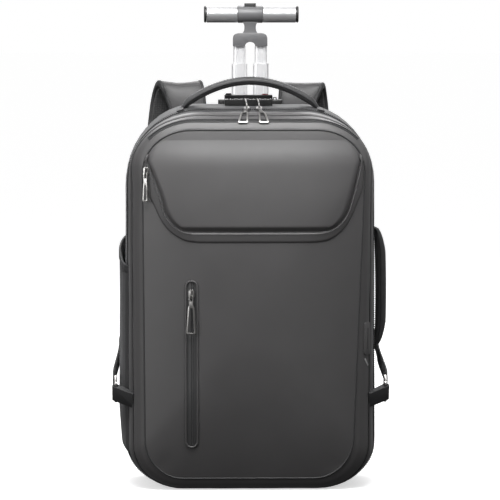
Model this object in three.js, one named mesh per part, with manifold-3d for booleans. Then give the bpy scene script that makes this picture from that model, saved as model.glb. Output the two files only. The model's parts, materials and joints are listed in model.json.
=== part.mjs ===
// A wheeled backpack with its trolley handle partly drawn out, in millimetres.
// +X is the viewer's right, the front of the bag faces -Y and +Z is up. The origin lies on the ground,
// under the middle of the flat bottom that the bag stands on.
import * as THREE from "three";
import { mergeVertices } from "three/addons/utils/BufferGeometryUtils.js";
import Module from "manifold-3d";

const wasm = await Module();
wasm.setup();

// Driving sizes of the soft body
const GAP = 0.3; // between pieces that touch
const BODY_WIDTH = 326;
const BODY_HEIGHT = 491.5;
const CASE_DEPTH = 170; // from the front seam to the back seam
const FRONT_SEAM_Y = -78;
const FRONT_CROWN = 24; // how far the padded front swells past its seam
const FRONT_LEAN = 8; // the front panel stands a little askew, from its foot to its top
const WALL = 2.5;
const BACK_PAD = 9;
const BACK_CROWN = 6;

// Driving sizes of what is sewn to the body
const PATCH_LIFT = 0.4; // clearance under a piece laid on the body
const POCKET_PANEL = 4.5;
const LIP_BAND = 3;
const SIDE_POCKET = { wall: 2, bulge: 7.5, edge: 2.6, front: 0.23, back: 0.93, floor: 0.09, binding: 5 };
const POCKET_MOUTH = { front: 0.575, back: 0.64 };
const PORT = { y: 0.072, z: 0.397, width: 13, height: 43, thickness: 1.8 };
const PORT_TAG = { length: 12, width: 3, thickness: 1.2, turn: 0.6, drop: 3.5 };
const TOP_HANDLE = { half_span: 91, rise: 34.5, width: 24, thickness: 10.5, end: 4, y: 0.45 };
const HANDLE_TAB = { width: 9, length: 15, thickness: 1.6 };
const SIDE_HANDLE = { middle: 0.522, half_span: 76, stand_off: 3.2, width: 24, thickness: 14, end: 4 };
const SIDE_HANDLE_DEPTH = 0.55; // where the side handle stands, as a share of CASE_DEPTH
const STRAP = { thickness: 12, end_thickness: 8, sunk: 5.8 }; // sunk into the back panel at its sewn end
const WEBBING = { width: 22, thickness: 1.8 };
// A ring stands off half the BODY_WIDTH, a wheel and the upper pull stand inside it
const RING = { bar: 31, depth: 25, wire: 4.4, tilt: 0.38, off: 11.5, y: 0.235, z: 123 };
const TAB = { height: 20, wrap: 1.6, root: 0.12, root_depth: 6 };

// Driving sizes of the zips
const FRONT_ZIP = { x: -77, bottom: 56.5, top: 273, width: 17.2, thickness: 2.2 };
const FRONT_TAPE = { width: 12.6, thickness: 1.2 };
const SLIDER = { length: 11, width: 7.4, thickness: 2.6, bridge: 8.6, wire: 1.3, clear: 2.5 };
const FRONT_PULL_Z = FRONT_ZIP.top - 20;
const FRONT_PULL = { top_width: 8, width: 12, ring: 36.5, stem: 12.5, neck: 5 };
const UPPER_PULL_AT = { inside: 28.5, drop: 82.5 };
const UPPER_PULL = { top_width: 5.5, width: 7.5, ring: 24, stem: 12.5, neck: 4.4 };
const TOP_PULL = { top_width: 8.4, width: 12.5, ring: 25, stem: 22, neck: 4.6 };
const PULL_PLATE = { rim: 2, thickness: 1.4, eye: 2.6, eye_length: 6.4 };
const LINK_WIRE = 1.8;

// Driving sizes of the lock, the trolley and the wheels
const LOCK = { x: -1.5, width: 62, depth: 30, y: 8, base: 7.2, trim: 1.6, cover: 4.4, radius: 2 };
const LOCK_KNOB = { x: -27.5, diameter: 9, height: 2.2 };
const LOCK_CAP = { x: 20, diameter: 9, height: 1.4 };
const LOCK_LOOP = { size: 5.4, wire: 1.6 };
const TOP_SLIDERS = { left: { x: -5, slot: -7.3, splay: -0.26 }, right: { x: 11, slot: 8.8, splay: 0.22 } };
const TROLLEY = { x: 2, y: 0.882, spacing: 28 };
const DRAWN = { middle: 53.9, inner: 76.5, sunk: 5.5 }; // how the tubes' tops stand over and under the body's
const FIXED_TUBE = { width: 24, depth: 18, wall: 1.4, bottom: 75, top: BODY_HEIGHT - DRAWN.sunk };
const MID_TUBE = { width: 20.2, depth: 14.2, wall: 1.6, length: 400, top: BODY_HEIGHT + DRAWN.middle };
const INNER_TUBE = { width: 15.6, depth: 9.6, wall: 1.2, length: 380, top: BODY_HEIGHT + DRAWN.inner };
const BEZEL = { width: 84, depth: 32, height: 6.5, radius: 5 };
const YOKE = { width: 45, depth: 16, height: 17, arch: 13.6, arch_height: 5.5 };
const NECK = { width: 14.6, depth: 14, height: 14.4, flare: 6 };
const GRIP = { diameter: 21.8, length: 124, offset: 3, hub_length: 33, hub_diameter: 22.6, cap: 3 };
const BUTTON = { width: 15, depth: 9, rise: 3.2, sunk: 5, travel: 2.6 };
const WHEEL = { diameter: 60, width: 22, inside: 51, y: 0.953, bore: 6.6, axle: 6, clearance: 3.5 };
const BASE = { front: 0.79, top: 72, wall: 4, cheek: 5 };

// Routes of the shoulder straps' middles down the back, from the sewn end: distance from the middle of the
// bag on the left and on the right, distance behind the back panel, height as a share of BODY_HEIGHT, width
const STRAP_ROUTE = [
  [72, 65, 1, 0.93, 58],
  [76, 67, 2, 0.99, 60],
  [80, 69, 6, 1.03, 62],
  [85, 72, 14, 1.048, 62],
  [90, 74, 22, 1.032, 62],
  [94, 76, 24, 0.99, 62],
  [101, 84, 17, 0.86, 60],
  [106, 98, 11, 0.7, 56],
  [111, 109, 9, 0.55, 48],
  [114, 114, 9, 0.44, 42],
];

// Route of the side webbing behind its ring: how far past half the BODY_WIDTH, share of CASE_DEPTH, and rise
// over the ring. It then turns the back corner at a rise, a little inside the side.
const WEBBING_ROUTE = [
  [8, 0.75, 30],
  [5, 0.97, 48],
];
const WEBBING_CORNER = { inside: 6, rise: 60 };

// Sections of the body, from the front seam to the back seam. y is a share of CASE_DEPTH. half and foot are
// the half widths under the shoulders and above the foot. They and the corners' widths are shares of half the
// BODY_WIDTH. top, bottom and the corners' heights are shares of BODY_HEIGHT.
const COLUMNS = ["y", "half", "foot", "top", "bottom", "top_w", "top_h", "foot_w", "foot_h"];
const SECTIONS = [
  [0.0, 0.877, 0.826, 0.945, 0.031, 0.38, 0.11, 0.31, 0.108],
  [0.032, 0.902, 0.865, 0.962, 0.016, 0.43, 0.118, 0.34, 0.11],
  [0.059, 0.919, 0.89, 0.97, 0.01, 0.466, 0.124, 0.37, 0.112],
  [0.118, 0.945, 0.935, 0.981, 0.002, 0.552, 0.138, 0.405, 0.114],
  [0.224, 0.963, 0.968, 0.988, 0, 0.564, 0.173, 0.44, 0.116],
  [0.33, 0.975, 0.985, 0.9955, 0, 0.564, 0.197, 0.466, 0.118],
  [0.576, 0.982, 0.994, 1, 0, 0.552, 0.214, 0.478, 0.118],
  [0.812, 0.982, 0.994, 1, 0, 0.552, 0.214, 0.478, 0.118],
  [1.0, 0.966, 0.978, 0.991, 0.006, 0.54, 0.211, 0.454, 0.112],
].map((row) => Object.fromEntries(row.map((value, i) => [COLUMNS[i], value])));
const DEEP_SEAM = SECTIONS[3].y;
const MAIN_ZIP_SHARES = [SECTIONS[4].y, SECTIONS[5].y];

// Edges of the upper pocket's panel and of the lip band under it: height as a share of BODY_HEIGHT, and the
// distance from the middle to the left and right edge as shares of half the BODY_WIDTH
const POCKET_EDGE = [
  [0.882, 0.842, 0.871],
  [0.806, 0.753, 0.818],
  [0.769, 0.712, 0.789],
  [0.727, 0.674, 0.745],
  [0.698, 0.604, 0.67],
  [0.6825, 0.54, 0.56],
];
const LIP_EDGE = [
  [0.862, 0.85, 0.9],
  [0.79, 0.831, 0.874],
  [0.745, 0.767, 0.82],
  [0.708, 0.712, 0.768],
  [0.681, 0.645, 0.692],
  [0.6515, 0.54, 0.56],
];

const POCKET_TOP = [0.902, 0.921, 0.933]; // heights of the rows over the table, under the front seam
const POCKET_SEAM = 1.2; // width of the groove between the pocket's panel and its lip
const SEAM_MARGIN = 0.985; // how far out on the front a piece may reach, 1 being the seam
const PAST = 50; // how far a cutting block reaches past what it cuts
const NEAR_PAST = 5; // the same for a small one

// Finishes
const finish = (color, roughness, metalness) =>
  new THREE.MeshStandardMaterial({ color, roughness, metalness });
const COATED = finish(0x4a4849, 0.55, 0);
const FABRIC = finish(0x3a3a3b, 0.8, 0);
const MESH_FABRIC = finish(0x161616, 0.95, 0);
const TAPE = finish(0x1b1b1c, 0.85, 0);
const NICKEL = finish(0xb8b6b2, 0.3, 1);
const ALUMINIUM = finish(0xdedfe0, 0.25, 1);
const GREY_PLASTIC = finish(0x6c6d6e, 0.45, 0);
const BLACK_PLASTIC = finish(0x1c1d1d, 0.5, 0);
const RED_PLASTIC = finish(0x8a1f26, 0.4, 0);
const TYRE = finish(0x121212, 0.8, 0);

const root = new THREE.Group();

// Adds a piece to the bag under its name
function add(name, geometry, material, parent = root) {
  const mesh = new THREE.Mesh(geometry, material);
  mesh.name = name;
  parent.add(mesh);
  return mesh;
}

// Solids and booleans

const point = (x, y, z) => new THREE.Vector3(x, y, z);
const lerp = THREE.MathUtils.lerp;

// A geometry as a manifold solid, turned outwards if it came inside out
function solid(geometry) {
  const bare = geometry.index ? geometry.toNonIndexed() : geometry.clone();
  for (const key of Object.keys(bare.attributes)) if (key !== "position") bare.deleteAttribute(key);
  const merged = mergeVertices(bare, 1e-4);
  const make = (triVerts) =>
    new wasm.Manifold(
      new wasm.Mesh({ numProp: 3, vertProperties: merged.attributes.position.array, triVerts }),
    );
  const faces = new Uint32Array(merged.index.array);
  const made = make(faces);
  return made.volume() > 0 ? made : make(faces.reverse());
}

function geometryOf(made) {
  const mesh = made.getMesh();
  return new THREE.BufferGeometry()
    .setAttribute("position", new THREE.BufferAttribute(new Float32Array(mesh.vertProperties), 3))
    .setIndex(new THREE.BufferAttribute(new Uint32Array(mesh.triVerts), 1));
}

const outward = (geometry) => geometryOf(solid(geometry));
const cut = (geometry, ...tools) =>
  geometryOf(tools.reduce((rest, tool) => rest.subtract(solid(tool)), solid(geometry)));
const join = (...pieces) => geometryOf(pieces.map(solid).reduce((a, b) => a.add(b)));
const common = (a, b) => geometryOf(solid(a).intersect(solid(b)));

// A closed solid through rings of points. The ends are capped, or the last ring meets the first.
function loft(rings, looped = false) {
  const count = rings[0].length;
  const positions = rings.flat().flatMap((p) => [p.x, p.y, p.z]);
  const index = [];
  const at = (r, i) => (r % rings.length) * count + (i % count);
  const spans = looped ? rings.length : rings.length - 1;
  for (let r = 0; r < spans; r++)
    for (let i = 0; i < count; i++)
      index.push(at(r, i), at(r, i + 1), at(r + 1, i + 1), at(r, i), at(r + 1, i + 1), at(r + 1, i));
  if (!looped)
    for (const [r, turned] of [[0, true], [rings.length - 1, false]]) {
      const middle = rings[r].reduce((sum, p) => sum.add(p), point(0, 0, 0)).divideScalar(count);
      const centre = positions.push(middle.x, middle.y, middle.z) / 3 - 1;
      for (let i = 0; i < count; i++)
        index.push(centre, turned ? at(r, i + 1) : at(r, i), turned ? at(r, i) : at(r, i + 1));
    }
  const geometry = new THREE.BufferGeometry()
    .setAttribute("position", new THREE.Float32BufferAttribute(positions, 3))
    .setIndex(index);
  return outward(geometry);
}

function box(x0, x1, y0, y1, z0, z1) {
  const middle = [(x0 + x1) / 2, (y0 + y1) / 2, (z0 + z1) / 2];
  return new THREE.BoxGeometry(x1 - x0, y1 - y0, z1 - z0).translate(...middle);
}

// A round bar along X, about the origin
const rodX = (diameter, length, sides) =>
  new THREE.CylinderGeometry(diameter / 2, diameter / 2, length, sides).rotateZ(Math.PI / 2);

// A rounded rectangle in the XY plane, as a THREE.Shape
function roundedShape(width, height, radius) {
  const [w, h] = [width / 2 - radius, height / 2 - radius];
  const shape = new THREE.Shape();
  shape.absarc(w, h, radius, 0, Math.PI / 2);
  shape.absarc(-w, h, radius, Math.PI / 2, Math.PI);
  shape.absarc(-w, -h, radius, Math.PI, 1.5 * Math.PI);
  shape.absarc(w, -h, radius, 1.5 * Math.PI, 2 * Math.PI);
  return shape;
}

// A rounded rectangle as a hole of another shape
const opening = (width, height, radius, steps) =>
  new THREE.Path(roundedShape(width, height, radius).getPoints(steps));

const extrude = (shape, depth, curveSegments = 3) =>
  new THREE.ExtrudeGeometry(shape, { depth, bevelEnabled: false, curveSegments });

// The body's outline

const yAt = (share) => FRONT_SEAM_Y + share * CASE_DEPTH;

function sectionAt(share) {
  const next = Math.max(1, SECTIONS.findIndex((row) => row.y >= share - 1e-9));
  const [a, b] = [SECTIONS[next - 1], SECTIONS[next]];
  const t = (share - a.y) / (b.y - a.y);
  return Object.fromEntries(COLUMNS.map((key) => [key, lerp(a[key], b[key], t)]));
}

const CORNER_STEPS = 6;
const SIDE_STEPS = 3;

// The points of one section, going round from the bottom's left end, with the wall's inset taken off
function outline(share, inset = 0) {
  const s = sectionAt(share);
  const half = BODY_WIDTH / 2;
  const [top, bottom] = [s.top * BODY_HEIGHT - inset, s.bottom * BODY_HEIGHT + inset];
  const corner = (w, h) => [w * half - inset, h * BODY_HEIGHT - inset];
  const [topW, topH] = corner(s.top_w, s.top_h);
  const [footW, footH] = corner(s.foot_w, s.foot_h);
  const [upper, lower] = [s.half * half - inset, s.foot * half - inset];
  const side = [];
  for (let i = 0; i <= CORNER_STEPS; i++) {
    const a = (i / CORNER_STEPS) * (Math.PI / 2);
    side.push([lower - footW + footW * Math.sin(a), bottom + footH - footH * Math.cos(a)]);
  }
  for (let i = 1; i < SIDE_STEPS; i++)
    side.push([lerp(lower, upper, i / SIDE_STEPS), lerp(bottom + footH, top - topH, i / SIDE_STEPS)]);
  for (let i = 0; i <= CORNER_STEPS; i++) {
    const a = (i / CORNER_STEPS) * (Math.PI / 2);
    side.push([upper - topW + topW * Math.cos(a), top - topH + topH * Math.sin(a)]);
  }
  const lean = FRONT_LEAN * Math.max(0, 1 - share / DEEP_SEAM);
  const shear = ([x, z]) => [x + lean * (z / BODY_HEIGHT - 0.5), z];
  const middle = [[0, top]];
  const left = side.map(([x, z]) => [-x, z]).reverse();
  return [...side, ...middle, ...left, [0, bottom]].map(shear);
}

// The body's half width at a height, at a share of its depth
function halfWidthAt(share, z) {
  const ring = outline(share).filter(([x]) => x > 0);
  const above = ring.findIndex((p) => p[1] >= z);
  const [a, b] = [ring[Math.max(0, above - 1)], ring[Math.max(1, above)]];
  return lerp(a[0], b[0], (z - a[1]) / (b[1] - a[1]));
}

// The height of the body's top at a share of its depth
const topAt = (share) => sectionAt(share).top * BODY_HEIGHT;

// The height of the body's upper surface off the middle
function topZ(share, x) {
  const ring = outline(share).filter((p) => p[1] > BODY_HEIGHT / 2);
  ring.sort((a, b) => a[0] - b[0]);
  const k = ring.findIndex((p) => p[0] >= x);
  const [a, b] = [ring[k - 1], ring[k]];
  return lerp(a[1], b[1], (x - a[0]) / (b[0] - a[0]));
}

// A ring of the body's wall between two shares of its depth, through the sections that lie between
function bodyRing(from, to) {
  const trim = GAP / 2 / CASE_DEPTH;
  const [near, far] = [from + trim, to - trim];
  const between = SECTIONS.map((s) => s.y).filter((y) => y > near && y < far);
  const shares = [near, ...between, far];
  const ring = (share, inset) => outline(share, inset).map(([x, z]) => point(x, yAt(share), z));
  return loft([...shares.map((s) => ring(s, 0)), ...shares.reverse().map((s) => ring(s, WALL))], true);
}

// The swelling front

const FRONT_MIDDLE = 0.46; // height of the front's fullest point, as a share of BODY_HEIGHT
const FRONT_FULLNESS = 2.6; // how square the swelling is: 2 is a plain dome
const FRONT_STEPS = [0.2, 0.46, 0.68, 0.83, 0.93, 1]; // rings of the front, from its middle to its seam
const LINING_STEPS = [0.985, 0.85, 0.62, 0.2]; // rings of its inner face, from the seam to the middle
const seamRing = outline(0);
const frontCentre = [0, FRONT_MIDDLE * BODY_HEIGHT];

// How far out a point lies, from 0 at the front's middle to 1 at its seam
function spread(x, z) {
  const [dx, dz] = [x - frontCentre[0], z - frontCentre[1]];
  const distance = Math.hypot(dx, dz);
  if (distance < 1e-6) return 0;
  for (let i = 0; i < seamRing.length; i++) {
    const [ax, az] = [seamRing[i][0] - frontCentre[0], seamRing[i][1] - frontCentre[1]];
    const next = seamRing[(i + 1) % seamRing.length];
    const [bx, bz] = [next[0] - frontCentre[0], next[1] - frontCentre[1]];
    const det = dx * (az - bz) - dz * (ax - bx);
    const along = (dx * az - dz * ax) / det;
    const reach = (ax * (az - bz) - az * (ax - bx)) / det;
    if (along >= -1e-9 && along <= 1 + 1e-9 && reach > 0) return 1 / reach;
  }
  return 1;
}

const frontY = (x, z) => FRONT_SEAM_Y - FRONT_CROWN * (1 - Math.min(1, spread(x, z)) ** FRONT_FULLNESS);

function frontPanel() {
  const [cx, cz] = frontCentre;
  const seamY = FRONT_SEAM_Y - GAP / 2;
  const skin = (steps, depth) =>
    steps.map((s) => {
      const y = Math.min(seamY, seamY - FRONT_CROWN * (1 - s ** FRONT_FULLNESS) + depth);
      return seamRing.map(([x, z]) => point(cx + (x - cx) * s, y, cz + (z - cz) * s));
    });
  return loft([...skin(FRONT_STEPS, 0), ...skin(LINING_STEPS, WALL)]);
}

// A solid with the front's own skin, moved out by a clearance, that cuts the backs of the pieces laid on it
function frontCore(clearance) {
  const [cx, cz] = frontCentre;
  const ring = (s, y) =>
    seamRing.map(([x, z]) => point(cx + (x - cx) * s, y - clearance, cz + (z - cz) * s));
  const seamY = FRONT_SEAM_Y - GAP / 2;
  const skin = FRONT_STEPS.map((s) => ring(s, seamY - FRONT_CROWN * (1 - s ** FRONT_FULLNESS)));
  return loft([...skin, ring(1, 0)]);
}

// A piece laid on the front between an inner and an outer edge, each a list of [x, z]
function frontPatch(inner, outer, across, thickness, edge = 0.35) {
  const sunk = -3;
  const grid = (lift) =>
    inner.map((p, i) =>
      Array.from({ length: across + 1 }, (_, k) => {
        const [x, z] = [lerp(p[0], outer[i][0], k / across), lerp(p[1], outer[i][1], k / across)];
        const onRim = k === 0 || k === across || i === 0 || i === inner.length - 1;
        return point(x, frontY(x, z) - PATCH_LIFT - (lift > 0 && onRim ? edge * lift : lift), z);
      }),
    );
  const [near, far] = [grid(sunk), grid(thickness)];
  return cut(loft(near.map((row, i) => [...row, ...far[i].slice().reverse()])), frontCore(PATCH_LIFT));
}

// The points of an edge table on one side of the front, resampled along a smooth curve
function edgeCurve(table, side, steps) {
  const column = side < 0 ? 1 : 2;
  const curve = new THREE.CatmullRomCurve3(
    table.map((row) => point((side * row[column] * BODY_WIDTH) / 2, 0, row[0] * BODY_HEIGHT)),
  );
  return curve.getSpacedPoints(steps).map((p) => insideSeam(p.x, p.z));
}

// Half the front's width at a height, on its right or left side
function seamReach(z, side) {
  const ring = seamRing.filter(([x]) => x * side > 0).sort((a, b) => a[1] - b[1]);
  const above = ring.findIndex((p) => p[1] >= z);
  const [a, b] = [ring[above - 1], ring[above]];
  return lerp(a[0], b[0], (z - a[1]) / (b[1] - a[1]));
}

// A point of an edge, kept just inside the front seam
function insideSeam(x, z) {
  const limit = Math.abs(seamReach(z, Math.sign(x))) * SEAM_MARGIN;
  return [Math.sign(x) * Math.min(Math.abs(x), limit), z];
}

// Upper pocket: rows from its left edge to its right edge, from the foot up to just under the front seam
function pocketPanel() {
  const steps = 7;
  const edge = (side) => [
    ...edgeCurve(POCKET_EDGE, side, steps).reverse(),
    ...POCKET_TOP.map((share) => insideSeam((side * BODY_WIDTH) / 2, share * BODY_HEIGHT)),
  ];
  return frontPatch(edge(-1), edge(1), 8, POCKET_PANEL, 0.5);
}

// Lip band: a U that runs down one side of the pocket's panel, under it and up the other
function lipBand() {
  const steps = 8;
  const path = (table, gap) => {
    const down = edgeCurve(table, -1, steps).map(([x, z]) => insideSeam(x - gap, z - gap / 2));
    const up = edgeCurve(table, 1, steps).map(([x, z]) => insideSeam(x + gap, z - gap / 2)).reverse();
    const floor = [-0.5, 0, 0.5].map((t) => [t * BODY_WIDTH * 0.5, down[down.length - 1][1]]);
    return [...down, ...floor, ...up];
  };
  return frontPatch(path(POCKET_EDGE, POCKET_SEAM), path(LIP_EDGE, 0), 2, LIP_BAND);
}

// Slices a flat piece into bands along Z or Y, so that it can be bent
function sliced(geometry, axis, slices) {
  geometry.computeBoundingBox();
  const { min, max } = geometry.boundingBox;
  const [far, lap] = [1000, 0.005];
  const step = (max[axis] - min[axis]) / slices;
  const bands = Array.from({ length: slices }, (_, i) => {
    const [from, to] = [min[axis] + i * step - lap, min[axis] + (i + 1) * step + lap];
    const tool = axis === "z" ? box(-far, far, -far, far, from, to) : box(-far, far, from, to, -far, far);
    return common(geometry, tool);
  });
  return join(...bands);
}

// Moves every corner of a piece
function moved(geometry, place) {
  const at = geometry.attributes.position;
  for (let i = 0; i < at.count; i++) at.setXYZ(i, ...place(at.getX(i), at.getY(i), at.getZ(i)));
  return outward(geometry);
}

// A plate of the front zip, a slot in outline, laid on the front
function slotPlate(width, height, thickness, hole) {
  const sunk = 3;
  const shape = roundedShape(width, height, width / 2 - 0.01);
  if (hole) shape.holes.push(opening(hole[0], hole[1], hole[0] / 2 - 0.01, 3));
  const flat = extrude(shape, thickness + sunk, 3).translate(0, 0, -sunk).rotateX(Math.PI / 2);
  const middle = (FRONT_ZIP.bottom + FRONT_ZIP.top) / 2;
  const bent = moved(sliced(flat, "z", 7), (x, y, z) => {
    const at = [x + FRONT_ZIP.x, z + middle];
    return [at[0], y + frontY(...at) - PATCH_LIFT, at[1]];
  });
  return cut(bent, frontCore(PATCH_LIFT));
}

add("front_panel", frontPanel(), COATED);
add("front_gusset", bodyRing(0, DEEP_SEAM), FABRIC);
add("main_gusset_front", bodyRing(DEEP_SEAM, MAIN_ZIP_SHARES[0]), FABRIC);
add("main_zip", bodyRing(MAIN_ZIP_SHARES[0], MAIN_ZIP_SHARES[1]), TAPE);
add("upper_pocket_panel", pocketPanel(), COATED);
add("upper_pocket_lip", lipBand(), COATED);

// Front zip and its bezel
const zipHeight = FRONT_ZIP.top - FRONT_ZIP.bottom;
const rim = FRONT_ZIP.width - FRONT_TAPE.width;
add(
  "front_zip_bezel",
  slotPlate(FRONT_ZIP.width, zipHeight, FRONT_ZIP.thickness, [FRONT_TAPE.width, zipHeight - rim]),
  COATED,
);
add(
  "front_zip_tape",
  slotPlate(FRONT_TAPE.width - 2 * GAP, zipHeight - rim - 2 * GAP, FRONT_TAPE.thickness),
  TAPE,
);

// Body rear, wheel base and back panel

function rearGusset() {
  const [front, top] = [yAt(BASE.front) - GAP, BASE.top + GAP];
  const [halfX, halfY] = [(TROLLEY.spacing + FIXED_TUBE.width) / 2 + GAP, FIXED_TUBE.depth / 2 + GAP];
  const [x, y] = [TROLLEY.x, yAt(TROLLEY.y)];
  const foot = box(-BODY_WIDTH, BODY_WIDTH, front, yAt(1) + PAST, -PAST, top);
  const slot = box(x - halfX, x + halfX, y - halfY, y + halfY, BODY_HEIGHT / 2, BODY_HEIGHT * 2);
  return cut(bodyRing(MAIN_ZIP_SHARES[1], 1), foot, slot);
}

const wheelX = BODY_WIDTH / 2 - WHEEL.inside;
const wheelY = yAt(WHEEL.y);
const axleLength = WHEEL.width + WHEEL.clearance + 2 * (BASE.cheek - 1);

// The moulding that closes the foot of the back and carries both wheels, the axles and the fixed tubes
function wheelBase() {
  const shares = [BASE.front, SECTIONS[7].y, 1];
  const whole = loft(shares.map((s) => outline(s).map(([x, z]) => point(x, yAt(s), z))));
  const wide = BODY_WIDTH;
  const body = common(whole, box(-wide, wide, yAt(BASE.front), yAt(1), -1, BASE.top));
  const reach = WHEEL.diameter / 2 + WHEEL.clearance;
  const wells = [-1, 1].map((side) => {
    const half = WHEEL.width / 2 + WHEEL.clearance / 2;
    const x = side * wheelX;
    return box(x - half, x + half, wheelY - reach, yAt(1) + PAST, -NEAR_PAST, reach * 2 - 2);
  });
  const inner = wheelX - WHEEL.width / 2 - WHEEL.clearance / 2 - BASE.cheek;
  const [floor, ceiling] = [BASE.wall + 2, BASE.top - BASE.wall];
  const tray = box(-inner, inner, yAt(BASE.front) - NEAR_PAST, yAt(1) - BASE.wall, floor, ceiling);
  const hole = rodX(WHEEL.axle + 2 * GAP, axleLength + 2 * GAP, 16);
  const bore = hole.translate(0, wheelY, WHEEL.diameter / 2);
  const bores = [-1, 1].map((side) => bore.clone().translate(side * wheelX, 0, 0));
  return cut(body, ...wells, tray, ...bores);
}

function backPanel() {
  const steps = [1, 0.94, 0.8, 0.5];
  const ring = outline(1);
  const middle = BODY_HEIGHT / 2;
  const skin = (depth, crown) =>
    steps.map((s) =>
      ring.map(([x, z]) => {
        const y = yAt(1) + GAP / 2 + depth + crown * (1 - s * s);
        return point(x * s, y, middle + (z - middle) * s);
      }),
    );
  const pad = loft([...skin(0, 0).reverse(), ...skin(BACK_PAD, BACK_CROWN)]);
  const wide = BODY_WIDTH;
  return cut(pad, box(-wide, wide, yAt(1) - PAST, yAt(1) + PAST, -PAST, BASE.top + GAP));
}

add("main_gusset_rear", rearGusset(), FABRIC);
add("back_panel", backPanel(), MESH_FABRIC);
add("wheel_base", wheelBase(), BLACK_PLASTIC);
for (const [name, side] of [["left", -1], ["right", 1]]) {
  const ring = cut(rodX(WHEEL.diameter, WHEEL.width, 32), rodX(WHEEL.bore, WHEEL.width + 2, 12));
  add("wheel_" + name, ring, TYRE).position.set(side * wheelX, wheelY, WHEEL.diameter / 2);
  add("axle_" + name, rodX(WHEEL.axle, axleLength, 12), NICKEL).position.set(
    side * wheelX,
    wheelY,
    WHEEL.diameter / 2,
  );
}

// Straps, handles and pockets

// A padded or flat band along a route: at each station its middle, the way across it, its width and thickness
function band(stations, square = 3, corners = 8) {
  const rings = stations.map(({ at, across, width, thickness }, i) => {
    const ahead = stations[Math.min(i + 1, stations.length - 1)].at.clone();
    const way = ahead.sub(stations[Math.max(i - 1, 0)].at).normalize();
    const side = across.clone().addScaledVector(way, -across.dot(way)).normalize();
    const up = way.clone().cross(side);
    return Array.from({ length: corners }, (_, k) => {
      const a = ((k + 0.5) / corners) * 2 * Math.PI;
      const reach = (v) => Math.sign(v) * Math.abs(v) ** (2 / square);
      return at
        .clone()
        .addScaledVector(side, (reach(Math.cos(a)) * width) / 2)
        .addScaledVector(up, (reach(Math.sin(a)) * thickness) / 2);
    });
  });
  return loft(rings);
}

// A solid of the whole body, grown by a clearance, that cuts the backs of the pieces sewn to it
function bodyCore(clearance) {
  return loft(SECTIONS.map((s) => outline(s.y, -clearance).map(([x, z]) => point(x, yAt(s.y), z))));
}

// The arched carrying handle on top
function topHandle() {
  const h = TOP_HANDLE;
  const foot = topAt(h.y) - h.thickness / 2 - GAP;
  const steps = 16;
  const stations = Array.from({ length: steps + 1 }, (_, i) => {
    const t = -1 + (2 * i) / steps;
    const end = Math.min(1, (1 - Math.abs(t)) / 0.16);
    const thickness = lerp(h.end, h.thickness, end);
    const z = foot + thickness / 2 + h.rise * (1 - t * t);
    const width = lerp(h.width * 0.8, h.width, end);
    return { at: point(t * h.half_span, yAt(h.y), z), across: point(0, 1, 0), width, thickness };
  });
  return cut(band(stations), bodyCore(GAP));
}

// The stitched tabs in front of the handle's ends
function handleTab(side) {
  const [x, t] = [side * TOP_HANDLE.half_span, HANDLE_TAB];
  const front = yAt(TOP_HANDLE.y) - TOP_HANDLE.width / 2 - GAP;
  const share = (y) => (y - FRONT_SEAM_Y) / CASE_DEPTH;
  const stations = Array.from({ length: 5 }, (_, i) => {
    const y = front - (i * t.length) / 4;
    const z = topZ(share(y), x) + GAP + t.thickness / 2;
    return { at: point(x, y, z), across: point(1, 0, -side * 0.25), width: t.width, thickness: t.thickness };
  });
  return cut(band(stations, 12, 4), bodyCore(GAP));
}

// The padded handle on the right side
function sideHandle() {
  const h = SIDE_HANDLE;
  const steps = 14;
  const stations = Array.from({ length: steps + 1 }, (_, i) => {
    const t = -1 + (2 * i) / steps;
    const z = h.middle * BODY_HEIGHT + t * h.half_span;
    const full = Math.sqrt(1 - Math.min(1, t * t));
    const thickness = lerp(h.end, h.thickness, Math.min(1, full * 1.25));
    const x = halfWidthAt(SIDE_HANDLE_DEPTH, z) + GAP + thickness / 2 + h.stand_off * full;
    return { at: point(x, yAt(SIDE_HANDLE_DEPTH), z), across: point(0, 1, 0), width: h.width, thickness };
  });
  return cut(band(stations), bodyCore(GAP));
}

// The bottle pocket on the left: how far its cloth stands off the side, at shares of its depth and height
function sidePocketBand(from, to, extra) {
  const p = SIDE_POCKET;
  const [columns, rows] = [8, 4];
  const mouth = (u) => lerp(POCKET_MOUTH.front, POCKET_MOUTH.back, u) * BODY_HEIGHT;
  const floor = p.floor * BODY_HEIGHT;
  const [fullness, foot, swell] = [1.4, 0.3, 3];
  const off = (u, v) => {
    const across = Math.sin(Math.PI * u) ** 0.7;
    return p.edge + (p.bulge - p.edge + fullness) * across * Math.min(1, foot + v * swell);
  };
  const grid = (lift, bottom, top) =>
    Array.from({ length: columns + 1 }, (_, i) =>
      Array.from({ length: rows + 1 }, (_, k) => {
        const [u, t] = [i / columns, k / rows];
        const share = lerp(p.front, p.back, u);
        const z = lerp(bottom(u), top(u), t);
        const v = Math.min(1, Math.max(0, (z - floor) / (mouth(u) - floor)));
        return point(-halfWidthAt(share, z) - (lift === null ? -4 : off(u, v) + lift), yAt(share), z);
      }),
    );
  const [bottom, top] = [(u) => (from < 0 ? floor : mouth(u) + from), (u) => mouth(u) + to];
  const shell = (lift, low, high) => {
    const [near, far] = [grid(null, low, high), grid(lift, low, high)];
    return loft(near.map((row, i) => [...row, ...far[i].slice().reverse()]));
  };
  const whole = shell(extra, bottom, top);
  const low = (u) => (from < 0 ? floor + p.wall : bottom(u) - NEAR_PAST);
  const space = shell(-p.wall - extra / 2, low, (u) => top(u) + NEAR_PAST);
  const ends = [p.front, p.back].map((share, i) => {
    const y = yAt(share);
    const [near, far] = i ? [y - p.wall, y + PAST] : [y - PAST, y + p.wall];
    return box(-BODY_WIDTH, 0, near, far, 0, BODY_HEIGHT);
  });
  return cut(whole, cut(space, ...ends), bodyCore(GAP));
}

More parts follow.
